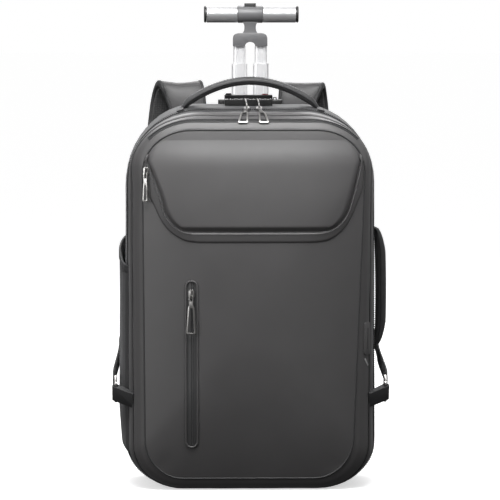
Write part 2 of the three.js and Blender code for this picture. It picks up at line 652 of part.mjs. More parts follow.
// A shoulder strap, from its sewn end over the top of the loop and down the back
function strapStations(side) {
  const column = side < 0 ? 0 : 1;
  const back = yAt(1) + BACK_PAD + BACK_CROWN + STRAP.thickness / 2 - STRAP.sunk;
  const route = STRAP_ROUTE.map((r) => point(side * r[column], back + r[2], r[3] * BODY_HEIGHT));
  const curve = new THREE.CatmullRomCurve3(route);
  const steps = 18;
  return Array.from({ length: steps + 1 }, (_, i) => {
    const t = i / steps;
    const place = t * (STRAP_ROUTE.length - 1);
    const row = Math.min(STRAP_ROUTE.length - 2, Math.floor(place));
    const width = lerp(STRAP_ROUTE[row][4], STRAP_ROUTE[row + 1][4], place - row);
    const thin = Math.min(1, Math.min(t, 1 - t) * 12);
    return {
      at: curve.getPoint(t),
      across: point(1, 0, 0),
      width,
      thickness: lerp(STRAP.end_thickness, STRAP.thickness, thin),
    };
  });
}

const ringX = BODY_WIDTH / 2 + RING.off;

// The middle of the ring's front bar, which the tab holds
const ringBar = (side) => point(side * ringX, yAt(RING.y), RING.z);

// Turns a piece made round the front bar as that bar is tilted, and moves it there
function toRing(geometry, side) {
  const at = ringBar(side);
  return geometry.rotateX(RING.tilt).translate(at.x, at.y, at.z);
}

function sideRing(side) {
  const r = RING;
  const shape = roundedShape(r.depth, r.bar, r.wire * 1.2);
  shape.holes.push(opening(r.depth - 2 * r.wire, r.bar - 2 * r.wire, r.wire * 0.5, 2));
  const flat = extrude(shape, r.wire * 0.8, 2).translate(r.depth / 2 - r.wire / 2, 0, -r.wire * 0.4);
  return toRing(flat.rotateX(Math.PI / 2).rotateZ(Math.PI / 2), side);
}

// The tab of strong cloth that is sewn into the deep seam and folded round the ring's front bar
function ringTab(side) {
  const [hole, outer] = [RING.wire * 0.65 + GAP, RING.wire * 0.65 + GAP + TAB.wrap];
  const sewn = point(side * (halfWidthAt(TAB.root, RING.z) - ringX), yAt(TAB.root) - yAt(RING.y), 0);
  const away = Math.atan2(sewn.y, sewn.x);
  const shape = new THREE.Shape();
  shape.absarc(0, 0, outer, away + Math.PI / 2, away - Math.PI / 2 + 2 * Math.PI);
  const half = point(-Math.sin(away), Math.cos(away), 0).multiplyScalar(TAB.root_depth / 2);
  const deep = point(Math.cos(away), Math.sin(away), 0).multiplyScalar(3);
  for (const k of [-1, 1]) shape.lineTo(sewn.x + deep.x + k * half.x, sewn.y + deep.y + k * half.y);
  shape.holes.push(new THREE.Path(new THREE.Path().absarc(0, 0, hole, 0, 2 * Math.PI).getPoints(8)));
  const flat = extrude(shape, TAB.height, 6).translate(0, 0, -TAB.height / 2);
  return cut(toRing(flat, side), bodyCore(GAP));
}

// The webbing from the ring's rear bar round the back corner to the foot of the shoulder strap
function sideWebbing(side) {
  const last = strapStations(side).pop();
  const bar = ringBar(side);
  const reach = RING.depth - RING.wire;
  const start = bar.clone().add(point(0, reach * Math.cos(RING.tilt), reach * Math.sin(RING.tilt)));
  const off = RING.wire * 0.4 + GAP + WEBBING.thickness / 2;
  const back = yAt(1) + BACK_PAD + 4;
  const half = BODY_WIDTH / 2;
  const route = [
    point(start.x + side * off, start.y - 1, start.z),
    point(start.x + side * off, start.y + 14, start.z + 8),
    ...WEBBING_ROUTE.map(([past, share, rise]) => point(side * (half + past), yAt(share), start.z + rise)),
    point(side * (half - WEBBING_CORNER.inside), back, start.z + WEBBING_CORNER.rise),
    point(side * (half - 30), back + 4, last.at.z - 12),
    point(last.at.x + side * 2, last.at.y, last.at.z - STRAP.end_thickness / 2 - GAP),
  ];
  const curve = new THREE.CatmullRomCurve3(route, false, "centripetal");
  const steps = 20;
  const stations = Array.from({ length: steps + 1 }, (_, i) => {
    const at = curve.getPoint(i / steps);
    const turn = Math.max(0, (i / steps - 0.75) / 0.25);
    return { at, across: point(turn * side, 0, 1 - 0.4 * turn), ...WEBBING };
  });
  return cut(band(stations, 12, 4), bodyCore(GAP), band(strapStations(side)));
}

// Zips and pulls. A slider lies in its own frame: the zip runs along Y, X is across it and Z points out of
// the cloth. Its bridge stands over it, and a pull's cross bar lies under the bridge.

function slider() {
  const s = SLIDER;
  const body = extrude(roundedShape(s.width, s.length, s.width * 0.42), s.thickness, 3);
  const height = s.clear + s.wire;
  const top = s.thickness + s.clear;
  const lap = 0.3;
  const half = s.bridge / 2;
  const wide = s.wire * 0.6;
  const [low, high] = [s.thickness - lap, s.thickness + height];
  const post = (y) => box(-wide, wide, y - s.wire / 2, y + s.wire / 2, low, high);
  const bar = box(-wide, wide, -half - s.wire / 2, half + s.wire / 2, top, top + s.wire);
  return join(body, join(post(-half), bar, post(half)));
}

// The height of a pull's cross bar over the cloth under its slider, and its distance from the bridge's middle
const pivotHeight = SLIDER.thickness + SLIDER.clear / 2;
const pivotBack = SLIDER.bridge / 2 - (PULL_PLATE.thickness + SLIDER.wire) / 2 - 1.5 * GAP;

// A pull hanging along -Y from its cross bar at the origin, flat in the XY plane
function pull(p) {
  const plate = PULL_PLATE;
  const wide = plate.eye + 2 * plate.rim * 0.75;
  const shape = new THREE.Shape();
  const [bar, eyeEnd] = [plate.thickness / 2, -plate.eye_length - plate.thickness / 2];
  const shoulder = -p.stem;
  const foot = -p.stem - p.ring;
  const soft = 2.2;
  shape.moveTo(-wide / 2, bar);
  shape.lineTo(-wide / 2, eyeEnd - 1);
  shape.lineTo(-p.neck / 2, eyeEnd - 2);
  shape.lineTo(-p.neck / 2, shoulder + 1);
  shape.lineTo(-p.top_width / 2, shoulder - soft);
  shape.lineTo(-p.width / 2, foot + soft);
  shape.quadraticCurveTo(-p.width / 2, foot, -p.width / 2 + soft, foot);
  shape.lineTo(p.width / 2 - soft, foot);
  shape.quadraticCurveTo(p.width / 2, foot, p.width / 2, foot + soft);
  shape.lineTo(p.top_width / 2, shoulder - soft);
  shape.lineTo(p.neck / 2, shoulder + 1);
  shape.lineTo(p.neck / 2, eyeEnd - 2);
  shape.lineTo(wide / 2, eyeEnd - 1);
  shape.lineTo(wide / 2, bar);
  const eye = new THREE.Path();
  eye.moveTo(-plate.eye / 2, -plate.thickness / 2);
  eye.lineTo(plate.eye / 2, -plate.thickness / 2);
  eye.lineTo(plate.eye / 2, eyeEnd + 0.6);
  eye.lineTo(-plate.eye / 2, eyeEnd + 0.6);
  const slot = new THREE.Path();
  const [high, low] = [shoulder - soft - 0.6, foot + plate.rim];
  slot.moveTo(-p.top_width / 2 + plate.rim, high);
  slot.lineTo(p.top_width / 2 - plate.rim, high);
  slot.lineTo(p.width / 2 - plate.rim, low + 1.5);
  slot.quadraticCurveTo(p.width / 2 - plate.rim, low, p.width / 2 - plate.rim - 1.5, low);
  slot.lineTo(-p.width / 2 + plate.rim + 1.5, low);
  slot.quadraticCurveTo(-p.width / 2 + plate.rim, low, -p.width / 2 + plate.rim, low + 1.5);
  shape.holes.push(eye, slot);
  return extrude(shape, plate.thickness, 3).translate(0, 0, -plate.thickness / 2);
}

// A group on the front at a place, with local Z out of the cloth and local Y up
function onFront(x, z, lift) {
  const step = 2;
  const slope = (frontY(x + step, z) - frontY(x - step, z)) / (2 * step);
  const group = new THREE.Group();
  group.position.set(x, frontY(x, z) - lift, z);
  group.rotation.set(Math.PI / 2, Math.atan(slope), 0);
  root.add(group);
  return group;
}

// A front slider with its pull, which hangs from the bridge and turns about its cross bar
function hangingPull(name, x, z, lift, sizes) {
  const group = onFront(x, z, lift);
  add(name + "_slider", slider(), NICKEL, group).position.y = pivotBack;
  add(name + "_pull", pull(sizes), NICKEL, group).position.z = pivotHeight;
}

const lockFloor = BODY_HEIGHT + GAP;
const lockTrimZ = lockFloor + LOCK.base + LOCK.trim / 2 + GAP;

// The two main sliders lie on the top, their pulls bent over the front edge, their wires in the lock
function topSlider(name, { x, slot, splay }) {
  const [near, far] = MAIN_ZIP_SHARES;
  const share = (near + far) / 2;
  const slope = Math.atan2(topAt(far) - topAt(near), yAt(far) - yAt(near));
  const seat = point(x, yAt(share), topAt(share) + 2 * GAP);
  const body = slider().rotateX(slope).translate(seat.x, seat.y, seat.z);
  const start = point(x, seat.y + SLIDER.length * 0.36, seat.z + SLIDER.thickness + 1);
  const slotY = LOCK.y - 2.2;
  const wire = new THREE.CatmullRomCurve3([
    start.clone().add(point(0, 0, -2.4)),
    start.clone().add(point(0, 1.5, 3)),
    point(lerp(x, slot, 0.7), slotY - 9, lockTrimZ + 1),
    point(slot, slotY, lockTrimZ),
    point(slot, slotY + 6, lockTrimZ),
  ]);
  const circle = new THREE.Path().absarc(0, 0, LINK_WIRE / 2, 0, 2 * Math.PI);
  const section = new THREE.Shape(circle.getPoints(6).slice(0, -1));
  const link = new THREE.ExtrudeGeometry(section, { steps: 6, extrudePath: wire, bevelEnabled: false });
  add(name + "_slider", join(body, link), NICKEL);

  const profile = SECTIONS.slice(0, 6).reverse().map((s) => point(0, yAt(s.y), s.top * BODY_HEIGHT));
  profile.push(point(0, frontY(0, profile[5].z - 14) - PATCH_LIFT - POCKET_PANEL, profile[5].z - 14));
  const raised = profile.map((p, i) => {
    const [a, b] = [profile[Math.max(0, i - 1)], profile[Math.min(profile.length - 1, i + 1)]];
    const way = b.clone().sub(a).normalize();
    return p.clone().addScaledVector(point(0, way.z, -way.y), 2.4);
  });
  const path = new THREE.CatmullRomCurve3([
    point(0, seat.y - pivotBack, seat.z + pivotHeight),
    ...raised.filter((p) => p.y < seat.y - 1.6 * SLIDER.bridge),
  ]);
  const total = path.getLength();
  const bent = moved(sliced(pull(TOP_PULL), "y", 6), (px, py, pz) => {
    const along = Math.min(0.999, Math.max(0, -py) / total);
    const [at, way] = [path.getPointAt(along), path.getTangentAt(along)];
    const extra = Math.min(0, -py);
    const yaw = splay * Math.max(0, Math.min(1, -py / TOP_PULL.stem));
    return [
      x + px + Math.sin(yaw) * -py * 0.5,
      at.y + extra * way.y + pz * way.z,
      at.z + extra * way.z - pz * way.y,
    ];
  });
  add(name + "_pull", bent, NICKEL);
}


add("top_handle", topHandle(), COATED);
add("side_handle", sideHandle(), COATED);
add("side_pocket", sidePocketBand(-1, 0, 0), FABRIC);
add("side_pocket_binding", sidePocketBand(GAP, SIDE_POCKET.binding, 1), TAPE);
for (const [name, side] of [["left", -1], ["right", 1]]) {
  add("handle_tab_" + name, handleTab(side), TAPE);
  add("shoulder_strap_" + name, band(strapStations(side)), COATED);
  add("side_ring_" + name, sideRing(side), NICKEL);
  add("ring_tab_" + name, ringTab(side), TAPE);
  add("strap_webbing_" + name, sideWebbing(side), TAPE);
}
hangingPull("front_zip", FRONT_ZIP.x, FRONT_PULL_Z, PATCH_LIFT + FRONT_TAPE.thickness + 2 * GAP, FRONT_PULL);
const upperPull = [UPPER_PULL_AT.inside - BODY_WIDTH / 2, BODY_HEIGHT - UPPER_PULL_AT.drop];
hangingPull("upper_zip", ...upperPull, PATCH_LIFT + LIP_BAND + GAP, UPPER_PULL);
for (const name of Object.keys(TOP_SLIDERS)) topSlider("main_zip_" + name, TOP_SLIDERS[name]);

// Lock on top of the bag

// A block with rounded upright edges, standing on a height
const block = (x, y, width, depth, z, height, radius) =>
  extrude(roundedShape(width, depth, radius), height, 3).translate(x, y, z);

function lock() {
  const { x, width, depth, radius } = LOCK;
  const y = LOCK.y + depth / 2;
  const slots = Object.values(TOP_SLIDERS).map(({ slot }) => {
    const half = LINK_WIRE / 2 + GAP * 1.5;
    return box(slot - half, slot + half, LOCK.y - 5, LOCK.y + 6, lockTrimZ - half, lockTrimZ + half);
  });
  const floor = lockFloor;
  const layers = [
    ["lock_base", LOCK.base, BLACK_PLASTIC, 0],
    ["lock_trim", LOCK.trim, NICKEL, 0.4],
    ["lock_cover", LOCK.cover, BLACK_PLASTIC, 0],
  ];
  let z = floor;
  for (const [name, height, material, proud] of layers) {
    add(name, cut(block(x, y, width + proud, depth + proud, z, height, radius), ...slots), material);
    z += height + GAP;
  }
  const [front, top] = [LOCK.y + LOCK_KNOB.diameter * 0.8, z];
  const caps = [
    ["lock_knob", LOCK_KNOB, BLACK_PLASTIC],
    ["lock_cap", LOCK_CAP, RED_PLASTIC],
  ];
  for (const [name, cap, material] of caps) {
    const dome = new THREE.CylinderGeometry(cap.diameter * 0.38, cap.diameter / 2, cap.height, 16);
    add(name, dome.rotateX(Math.PI / 2), material).position.set(cap.x, front, top + cap.height / 2);
  }
  const loop = roundedShape(LOCK_LOOP.size, LOCK_LOOP.size, 1.4);
  const inner = LOCK_LOOP.size - 2 * LOCK_LOOP.wire;
  loop.holes.push(opening(inner, inner, 0.6, 1));
  add("lock_loop", extrude(loop, LOCK_LOOP.wire, 2).rotateX(Math.PI / 2), NICKEL).position.set(
    x + width / 2 + LOCK_LOOP.size / 2 + GAP,
    LOCK.y + 5,
    floor + LOCK.base + LOCK.trim,
  );
}

lock();

// Trolley

const trolleyY = yAt(TROLLEY.y);
const gripZ = INNER_TUBE.top + GAP + YOKE.height + NECK.height + GRIP.hub_diameter / 2 - 1;

// A straight tube with rounded corners, standing with its top at a height
function tube({ width, depth, wall }, bottom, top) {
  const radius = depth * 0.38;
  const shape = roundedShape(width, depth, radius);
  shape.holes.push(opening(width - 2 * wall, depth - 2 * wall, radius - wall, 2));
  return extrude(shape, top - bottom, 2).translate(0, 0, bottom);
}

for (const [name, side] of [["left", -1], ["right", 1]]) {
  const x = TROLLEY.x + (side * TROLLEY.spacing) / 2;
  const stages = [
    ["fixed_tube_", FIXED_TUBE, FIXED_TUBE.bottom, FIXED_TUBE.top],
    ["mid_tube_", MID_TUBE, MID_TUBE.top - MID_TUBE.length, MID_TUBE.top],
    ["inner_tube_", INNER_TUBE, INNER_TUBE.top - INNER_TUBE.length, INNER_TUBE.top],
  ];
  for (const [stage, sizes, bottom, top] of stages)
    add(stage + name, tube(sizes, bottom, top), ALUMINIUM).position.set(x, trolleyY, 0);
}

// The plate on the bag's top that the tubes slide through
function bezel() {
  const z = topAt(1) - GAP;
  const height = BODY_HEIGHT + BEZEL.height - z;
  const plate = block(TROLLEY.x, trolleyY, BEZEL.width, BEZEL.depth, z, height, BEZEL.radius);
  const holes = [-1, 1].map((side) =>
    block(
      TROLLEY.x + (side * TROLLEY.spacing) / 2,
      trolleyY,
      MID_TUBE.width + 2 * GAP,
      MID_TUBE.depth + 2 * GAP,
      z - 5,
      BEZEL.height + 20,
      MID_TUBE.depth * 0.38,
    ),
  );
  return cut(plate, bodyCore(GAP), ...holes);
}

add("trolley_bezel", bezel(), BLACK_PLASTIC);

// The yoke joins the two inner tubes, and its neck carries the grip
function yoke() {
  const z = INNER_TUBE.top + GAP;
  const arch = new THREE.Shape();
  const [w, h] = [YOKE.width / 2, YOKE.height];
  const [aw, ah] = [YOKE.arch / 2, YOKE.arch_height];
  arch.moveTo(-w, 0);
  arch.lineTo(-aw, 0);
  arch.absellipse(0, 0, aw, ah, Math.PI, 0, true);
  arch.lineTo(w, 0);
  arch.lineTo(w, h - 7);
  arch.quadraticCurveTo(w, h, w - 9, h);
  arch.lineTo(-w + 9, h);
  arch.quadraticCurveTo(-w, h, -w, h - 7);
  const body = extrude(arch, YOKE.depth, 5).translate(0, 0, -YOKE.depth / 2).rotateX(Math.PI / 2);
  const neck = new THREE.Shape();
  const [n, f, lap] = [NECK.width / 2, NECK.flare, 0.5];
  neck.moveTo(-n - f / 2, -lap);
  neck.quadraticCurveTo(-n, 2, -n, NECK.height / 2);
  neck.quadraticCurveTo(-n, NECK.height - 2, -n - f / 2, NECK.height + lap);
  neck.lineTo(n + f / 2, NECK.height + lap);
  neck.quadraticCurveTo(n, NECK.height - 2, n, NECK.height / 2);
  neck.quadraticCurveTo(n, 2, n + f / 2, -lap);
  const stem = extrude(neck, NECK.depth, 4).translate(0, 0, -NECK.depth / 2).rotateX(Math.PI / 2);
  stem.translate(0, 0, h);
  const across = rodX(GRIP.hub_diameter + 2 * GAP, GRIP.length, 24).translate(0, 0, gripZ - z);
  return cut(join(body, stem), across).translate(TROLLEY.x, trolleyY, z);
}

add("trolley_yoke", yoke(), GREY_PLASTIC);

// The grip: a hub over the neck, a bar out of each end of it and a cap on each bar
function grip() {
  const middle = TROLLEY.x + GRIP.offset / 2;
  const z = gripZ;
  const well = box(
    -BUTTON.width / 2 - GAP,
    BUTTON.width / 2 + GAP,
    -BUTTON.depth / 2 - GAP,
    BUTTON.depth / 2 + GAP,
    GRIP.hub_diameter / 2 - BUTTON.sunk - BUTTON.travel - 2 * GAP,
    GRIP.hub_diameter,
  );
  const hub = cut(rodX(GRIP.hub_diameter, GRIP.hub_length, 24), well);
  add("grip_hub", hub, GREY_PLASTIC).position.set(TROLLEY.x, trolleyY, z);
  for (const [name, side] of [["left", -1], ["right", 1]]) {
    const inner = side * (GRIP.hub_length / 2 + GAP);
    const end = middle - TROLLEY.x + side * (GRIP.length / 2 - GRIP.cap - GAP);
    const bar = add("grip_bar_" + name, rodX(GRIP.diameter, Math.abs(end - inner), 24), ALUMINIUM);
    bar.position.set(TROLLEY.x + (inner + end) / 2, trolleyY, z);
    const cap = add("grip_cap_" + name, rodX(GRIP.diameter, GRIP.cap, 24), BLACK_PLASTIC);
    cap.position.set(TROLLEY.x + end + side * (GAP + GRIP.cap / 2), trolleyY, z);
  }
  const button = extrude(roundedShape(BUTTON.width, BUTTON.depth, 2.5), BUTTON.rise + BUTTON.sunk, 3);
  add("push_button", button, BLACK_PLASTIC).position.set(
    TROLLEY.x,
    trolleyY,
    z + GRIP.hub_diameter / 2 - BUTTON.sunk,
  );
}

grip();

// The flap over the port on the right of the front gusset, and the plain metal tag at its foot
function portPiece(turn, along, across, thickness, z) {
  const flat = block(0, 0, across, along, 0, thickness, Math.min(across, along) * 0.3);
  const share = PORT.y;
  const [ahead, behind] = [share - 0.02, share + 0.02];
  const x = halfWidthAt(share, z);
  const yaw = Math.atan2(halfWidthAt(behind, z) - halfWidthAt(ahead, z), yAt(behind) - yAt(ahead));
  flat.translate(0, 0, -0.5).rotateZ(turn).rotateY(Math.PI / 2).rotateZ(-yaw);
  return cut(flat.translate(x + GAP, yAt(share), z), bodyCore(GAP));
}

add("port_flap", portPiece(0, PORT.width, PORT.height, PORT.thickness, PORT.z * BODY_HEIGHT), COATED);
add(
  "port_tag",
  portPiece(
    PORT_TAG.turn,
    PORT_TAG.width,
    PORT_TAG.length,
    PORT_TAG.thickness,
    PORT.z * BODY_HEIGHT - PORT.height / 2 - PORT_TAG.drop - PORT_TAG.length / 2,
  ),
  NICKEL,
);

export default root;
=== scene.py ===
# %% [markdown]
# A wheeled backpack in Blender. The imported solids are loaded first, as a fixed frame in metres: +X is the
# viewer's right, the bag's front faces -Y and +Z is up. Every cell then adds one piece or one finish.

# %% Load the frame
import json
import math

import bmesh
import bpy
from mathutils import Matrix, Vector, noise

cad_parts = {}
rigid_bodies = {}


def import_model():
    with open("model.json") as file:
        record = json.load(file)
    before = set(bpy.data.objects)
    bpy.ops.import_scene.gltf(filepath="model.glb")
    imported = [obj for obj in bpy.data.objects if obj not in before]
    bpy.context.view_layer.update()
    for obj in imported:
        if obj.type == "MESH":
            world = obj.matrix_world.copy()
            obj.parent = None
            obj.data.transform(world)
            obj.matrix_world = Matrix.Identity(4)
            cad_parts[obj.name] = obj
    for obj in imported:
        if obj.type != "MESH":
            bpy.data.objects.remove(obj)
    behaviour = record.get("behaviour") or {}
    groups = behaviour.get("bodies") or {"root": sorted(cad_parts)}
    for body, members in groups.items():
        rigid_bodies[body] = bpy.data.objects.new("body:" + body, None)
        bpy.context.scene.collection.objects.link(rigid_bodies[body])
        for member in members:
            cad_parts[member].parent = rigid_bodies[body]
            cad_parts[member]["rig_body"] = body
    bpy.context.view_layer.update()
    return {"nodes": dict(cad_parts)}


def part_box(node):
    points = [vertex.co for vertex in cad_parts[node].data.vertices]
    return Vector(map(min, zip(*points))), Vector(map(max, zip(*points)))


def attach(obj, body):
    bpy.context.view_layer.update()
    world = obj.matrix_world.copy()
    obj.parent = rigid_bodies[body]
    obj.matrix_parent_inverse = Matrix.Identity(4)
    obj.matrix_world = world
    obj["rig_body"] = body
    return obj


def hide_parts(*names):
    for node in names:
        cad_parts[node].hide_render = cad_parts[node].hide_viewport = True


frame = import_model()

print("frame:", len(frame["nodes"]), "nodes")

# %% [markdown]
# A product photo is taken with a long lens, so that upright edges stay parallel. The camera stands far off,
# a little left of the middle and four degrees up, and its lens is set from the width that the frame takes
# in.

# %% Camera
AZIMUTH, ELEVATION = math.radians(-1.5), math.radians(4.0)
CAMERA_DISTANCE = 5.0
VIEW_WIDTH = 0.650
AIM = Vector((0.0, 0.0, 0.3047))

lens = bpy.data.cameras.new("camera")
lens.sensor_width = 36.0
lens.lens = lens.sensor_width * CAMERA_DISTANCE / VIEW_WIDTH
camera = bpy.data.objects.new("camera", lens)
bpy.context.scene.collection.objects.link(camera)
level = math.cos(ELEVATION)
sight = Vector((math.sin(AZIMUTH) * level, -math.cos(AZIMUTH) * level, math.sin(ELEVATION)))
camera.location = AIM + CAMERA_DISTANCE * sight
camera.rotation_euler = (-sight).to_track_quat("-Z", "Y").to_euler()
bpy.context.scene.camera = camera
print("camera: lens", round(lens.lens), "mm")

# %% [markdown]
# Shader nodes are made by one helper, so that each finish reads as a short recipe: it makes a node, sets
# what it is told, and links an input when it is given another node's socket.

# %% Helpers for materials
def make_node(tree, kind, settings=None, **inputs):
    made = tree.nodes.new(kind)
    for key, value in (settings or {}).items():
        setattr(made, key, value)
    for key, value in inputs.items():
        socket = made.inputs[key] if key in made.inputs else made.inputs[key.replace("_", " ")]
        if isinstance(value, bpy.types.NodeSocket):
            tree.links.new(value, socket)
        else:
            socket.default_value = value
    return made


def new_material(name, **sockets):
    material = bpy.data.materials.new(name)
    material.use_nodes = True
    shader = material.node_tree.nodes["Principled BSDF"]
    for key, value in sockets.items():
        shader.inputs[key.replace("_", " ")].default_value = value
    return material, material.node_tree, shader


def vary(tree, value, low, high):
    """Maps a texture's 0 to 1 onto a range."""
    mapped = make_node(tree, "ShaderNodeMapRange", Value=value, To_Min=low, To_Max=high)
    return mapped.outputs["Result"]


def tint(tree, factor, dark, light):
    mixed = make_node(tree, "ShaderNodeMix", {"data_type": "RGBA"})
    tree.links.new(factor, mixed.inputs["Factor"])
    mixed.inputs["A"].default_value = (*dark, 1.0)
    mixed.inputs["B"].default_value = (*light, 1.0)
    return mixed.outputs["Result"]


# %% [markdown]
# The front, the straps and the handles are a woven cloth with a smooth coating. It is nearly black, shows a
# soft broad sheen, and only a fine grain with a little mottling breaks the gloss. Noise at two sizes gives
# both, and a crossed pair of waves gives the weave that shows through the coating.

# %% Cloth finishes
def weave_height(tree, coordinates, threads_per_metre):
    scale = threads_per_metre * math.tau / 20  # at scale 1 the texture has 20 / tau bands a metre
    waves = [
        make_node(tree, "ShaderNodeTexWave", {"bands_direction": way}, Vector=coordinates, Scale=scale)
        for way in ("X", "Z")
    ]
    crossed = make_node(tree, "ShaderNodeMath", {"operation": "MAXIMUM"})
    for socket, wave in zip(crossed.inputs, waves):
        tree.links.new(wave.outputs["Fac"], socket)
    return crossed.outputs["Value"]


def cloth(name, dark, light, rough, threads, thread_height, grain, sheen, use_uv=False):
    material, tree, shader = new_material(name, Sheen_Weight=sheen, Sheen_Roughness=0.4)
    shader.inputs["Sheen Tint"].default_value = (0.8, 0.8, 0.82, 1.0)
    place = make_node(tree, "ShaderNodeTexCoord").outputs["UV" if use_uv else "Object"]
    mottle = make_node(tree, "ShaderNodeTexNoise", Vector=place, Scale=22.0, Detail=4.0).outputs["Fac"]
    fine = make_node(tree, "ShaderNodeTexNoise", Vector=place, Scale=1400.0, Detail=2.0).outputs["Fac"]
    tree.links.new(tint(tree, mottle, dark, light), shader.inputs["Base Color"])
    tree.links.new(vary(tree, fine, rough - 0.06, rough + 0.06), shader.inputs["Roughness"])
    weave = weave_height(tree, place, threads)
    bump = make_node(tree, "ShaderNodeBump", Height=weave, Strength=0.6, Distance=thread_height)
    below = bump.outputs["Normal"]
    coat = make_node(tree, "ShaderNodeBump", Height=fine, Strength=0.6, Distance=grain, Normal=below)
    tree.links.new(coat.outputs["Normal"], shader.inputs["Normal"])
    return material


COATED = cloth(
    "coated_cloth", (0.062, 0.060, 0.061), (0.074, 0.072, 0.073), 0.45, 1500, 0.00004, 0.00008, 0.12
)
STRAP_CLOTH = cloth(
    "strap_cloth", (0.04, 0.039, 0.04), (0.05, 0.049, 0.05), 0.5, 1300, 0.00006, 0.0001, 0.15, use_uv=True
)
WOVEN = cloth("woven_cloth", (0.026, 0.026, 0.027), (0.036, 0.036, 0.037), 0.62, 1100, 0.00012, 0.0001, 0.2)
TAPE = cloth("zip_tape", (0.012, 0.012, 0.013), (0.02, 0.02, 0.021), 0.6, 900, 0.00015, 0.0001, 0.15)
WEBBING = cloth(
    "webbing", (0.014, 0.014, 0.015), (0.024, 0.024, 0.025), 0.65, 700, 0.0003, 0.0001, 0.2, use_uv=True
)
SEALED = cloth(
    "sealed_tape", (0.036, 0.036, 0.037), (0.044, 0.044, 0.045), 0.42, 1200, 0.00003, 0.00006, 0.08
)
HANDLE_CLOTH = cloth(
    "handle_cloth", (0.024, 0.024, 0.025), (0.034, 0.034, 0.035), 0.5, 1300, 0.00006, 0.0001, 0.12,
    use_uv=True,
)
THREAD = cloth("thread", (0.03, 0.03, 0.031), (0.05, 0.05, 0.051), 0.55, 3000, 0.0001, 0.0001, 0.2)


def spacer_mesh(name):
    """Knitted spacer cloth over foam: small open cells, with painted shade darkening the low lines between
    them.
    """
    material, tree, shader = new_material(name, Sheen_Weight=0.25, Sheen_Roughness=0.5)
    place = make_node(tree, "ShaderNodeTexCoord").outputs["Object"]
    knit = make_node(tree, "ShaderNodeTexVoronoi", Vector=place, Scale=330.0, Randomness=0.25)
    cells = knit.outputs["Distance"]
    # Painted shade: the colour darkens from the middle of each cell to the low lines between the cells.
    tree.links.new(tint(tree, cells, (0.03, 0.03, 0.031), (0.006, 0.006, 0.006)), shader.inputs["Base Color"])
    tree.links.new(vary(tree, cells, 0.75, 0.95), shader.inputs["Roughness"])
    bump = make_node(tree, "ShaderNodeBump", {"invert": True}, Height=cells, Strength=0.8, Distance=0.0008)
    tree.links.new(bump.outputs["Normal"], shader.inputs["Normal"])
    return material


MESH_CLOTH = spacer_mesh("mesh_cloth")
print("cloths:", [m.name for m in bpy.data.materials])

# %% [markdown]
# The hard pieces are plated metal, drawn aluminium, moulded plastic and rubber. Each gets a little
# unevenness in its roughness, and fine lines where the real one is drawn or brushed: noise stretched along
# one direction.

# %% Metal, plastic and rubber finishes
def hard(name, dark, light, rough, metallic, stretch=(1, 1, 1), scale=300.0, height=0.00003, spread=0.06):
    material, tree, shader = new_material(name, Metallic=metallic)
    place = make_node(tree, "ShaderNodeTexCoord").outputs["Object"]
    drawn = make_node(tree, "ShaderNodeMapping", Vector=place, Scale=stretch).outputs["Vector"]
    grain = make_node(tree, "ShaderNodeTexNoise", Vector=drawn, Scale=scale, Detail=3.0).outputs["Fac"]
    wear = make_node(tree, "ShaderNodeTexNoise", Vector=place, Scale=45.0, Detail=3.0).outputs["Fac"]
    tree.links.new(tint(tree, wear, dark, light), shader.inputs["Base Color"])
    tree.links.new(vary(tree, grain, rough - spread, rough + spread), shader.inputs["Roughness"])
    bump = make_node(tree, "ShaderNodeBump", Height=grain, Strength=0.5, Distance=height)
    tree.links.new(bump.outputs["Normal"], shader.inputs["Normal"])
    return material


NICKEL = hard("nickel", (0.40, 0.39, 0.38), (0.48, 0.47, 0.46), 0.3, 1.0)
BRIGHT = hard("bright_steel", (0.72, 0.72, 0.72), (0.82, 0.82, 0.82), 0.16, 1.0)
DRAWN = hard(
    "drawn_aluminium", (0.8, 0.8, 0.81), (0.84, 0.84, 0.85), 0.3, 0.5, stretch=(1, 1, 0.02), height=0.00001,
    spread=0.03,
)
TURNED = hard(
    "turned_aluminium", (0.68, 0.68, 0.69), (0.74, 0.74, 0.75), 0.3, 0.8, stretch=(0.02, 1, 1),
    height=0.00001, spread=0.03,
)
GREY_MOULDED = hard("grey_moulding", (0.10, 0.10, 0.103), (0.12, 0.12, 0.123), 0.4, 0.0, scale=900.0)
BLACK_MOULDED = hard("black_moulding", (0.012, 0.012, 0.012), (0.018, 0.018, 0.018), 0.42, 0.0, scale=900.0)
RED_MOULDED = hard("red_moulding", (0.28, 0.02, 0.03), (0.34, 0.03, 0.04), 0.3, 0.0, scale=900.0)
RUBBER = hard(
    "wheel_rubber", (0.012, 0.012, 0.012), (0.022, 0.022, 0.022), 0.7, 0.0, scale=500.0, height=0.0001
)
print("finishes:", len(bpy.data.materials))

# %% [markdown]
# A piece made here is a mesh whose object stays at the origin. One helper turns a bmesh into such an
# object, gives it its finish and the body that it rides on, and smooths it, keeping the sharp edges.


def finished(name, bm, material, body="bag", replaces=(), sharp=40, wall=0.0):
    mesh = bpy.data.meshes.new(name)
    bm.to_mesh(mesh)
    bm.free()
    mesh.shade_smooth()
    mesh.set_sharp_from_angle(angle=math.radians(sharp))
    mesh.materials.append(material)
    made = bpy.data.objects.new(name, mesh)
    bpy.context.scene.collection.objects.link(made)
    if wall:
        thick = made.modifiers.new("wall", "SOLIDIFY")
        thick.thickness, thick.offset = wall, -1.0
    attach(made, body)
    if replaces:
        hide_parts(*([replaces] if isinstance(replaces, str) else replaces))
    return made


# %% [markdown]
# Most soft pieces are lofts: one outline is extruded from station to station. Each new row of points is put
# in its place after the extrusion, and the walk along and around the surface becomes the UV map in metres,
# so that weave and stitches keep their real size wherever the cloth turns.

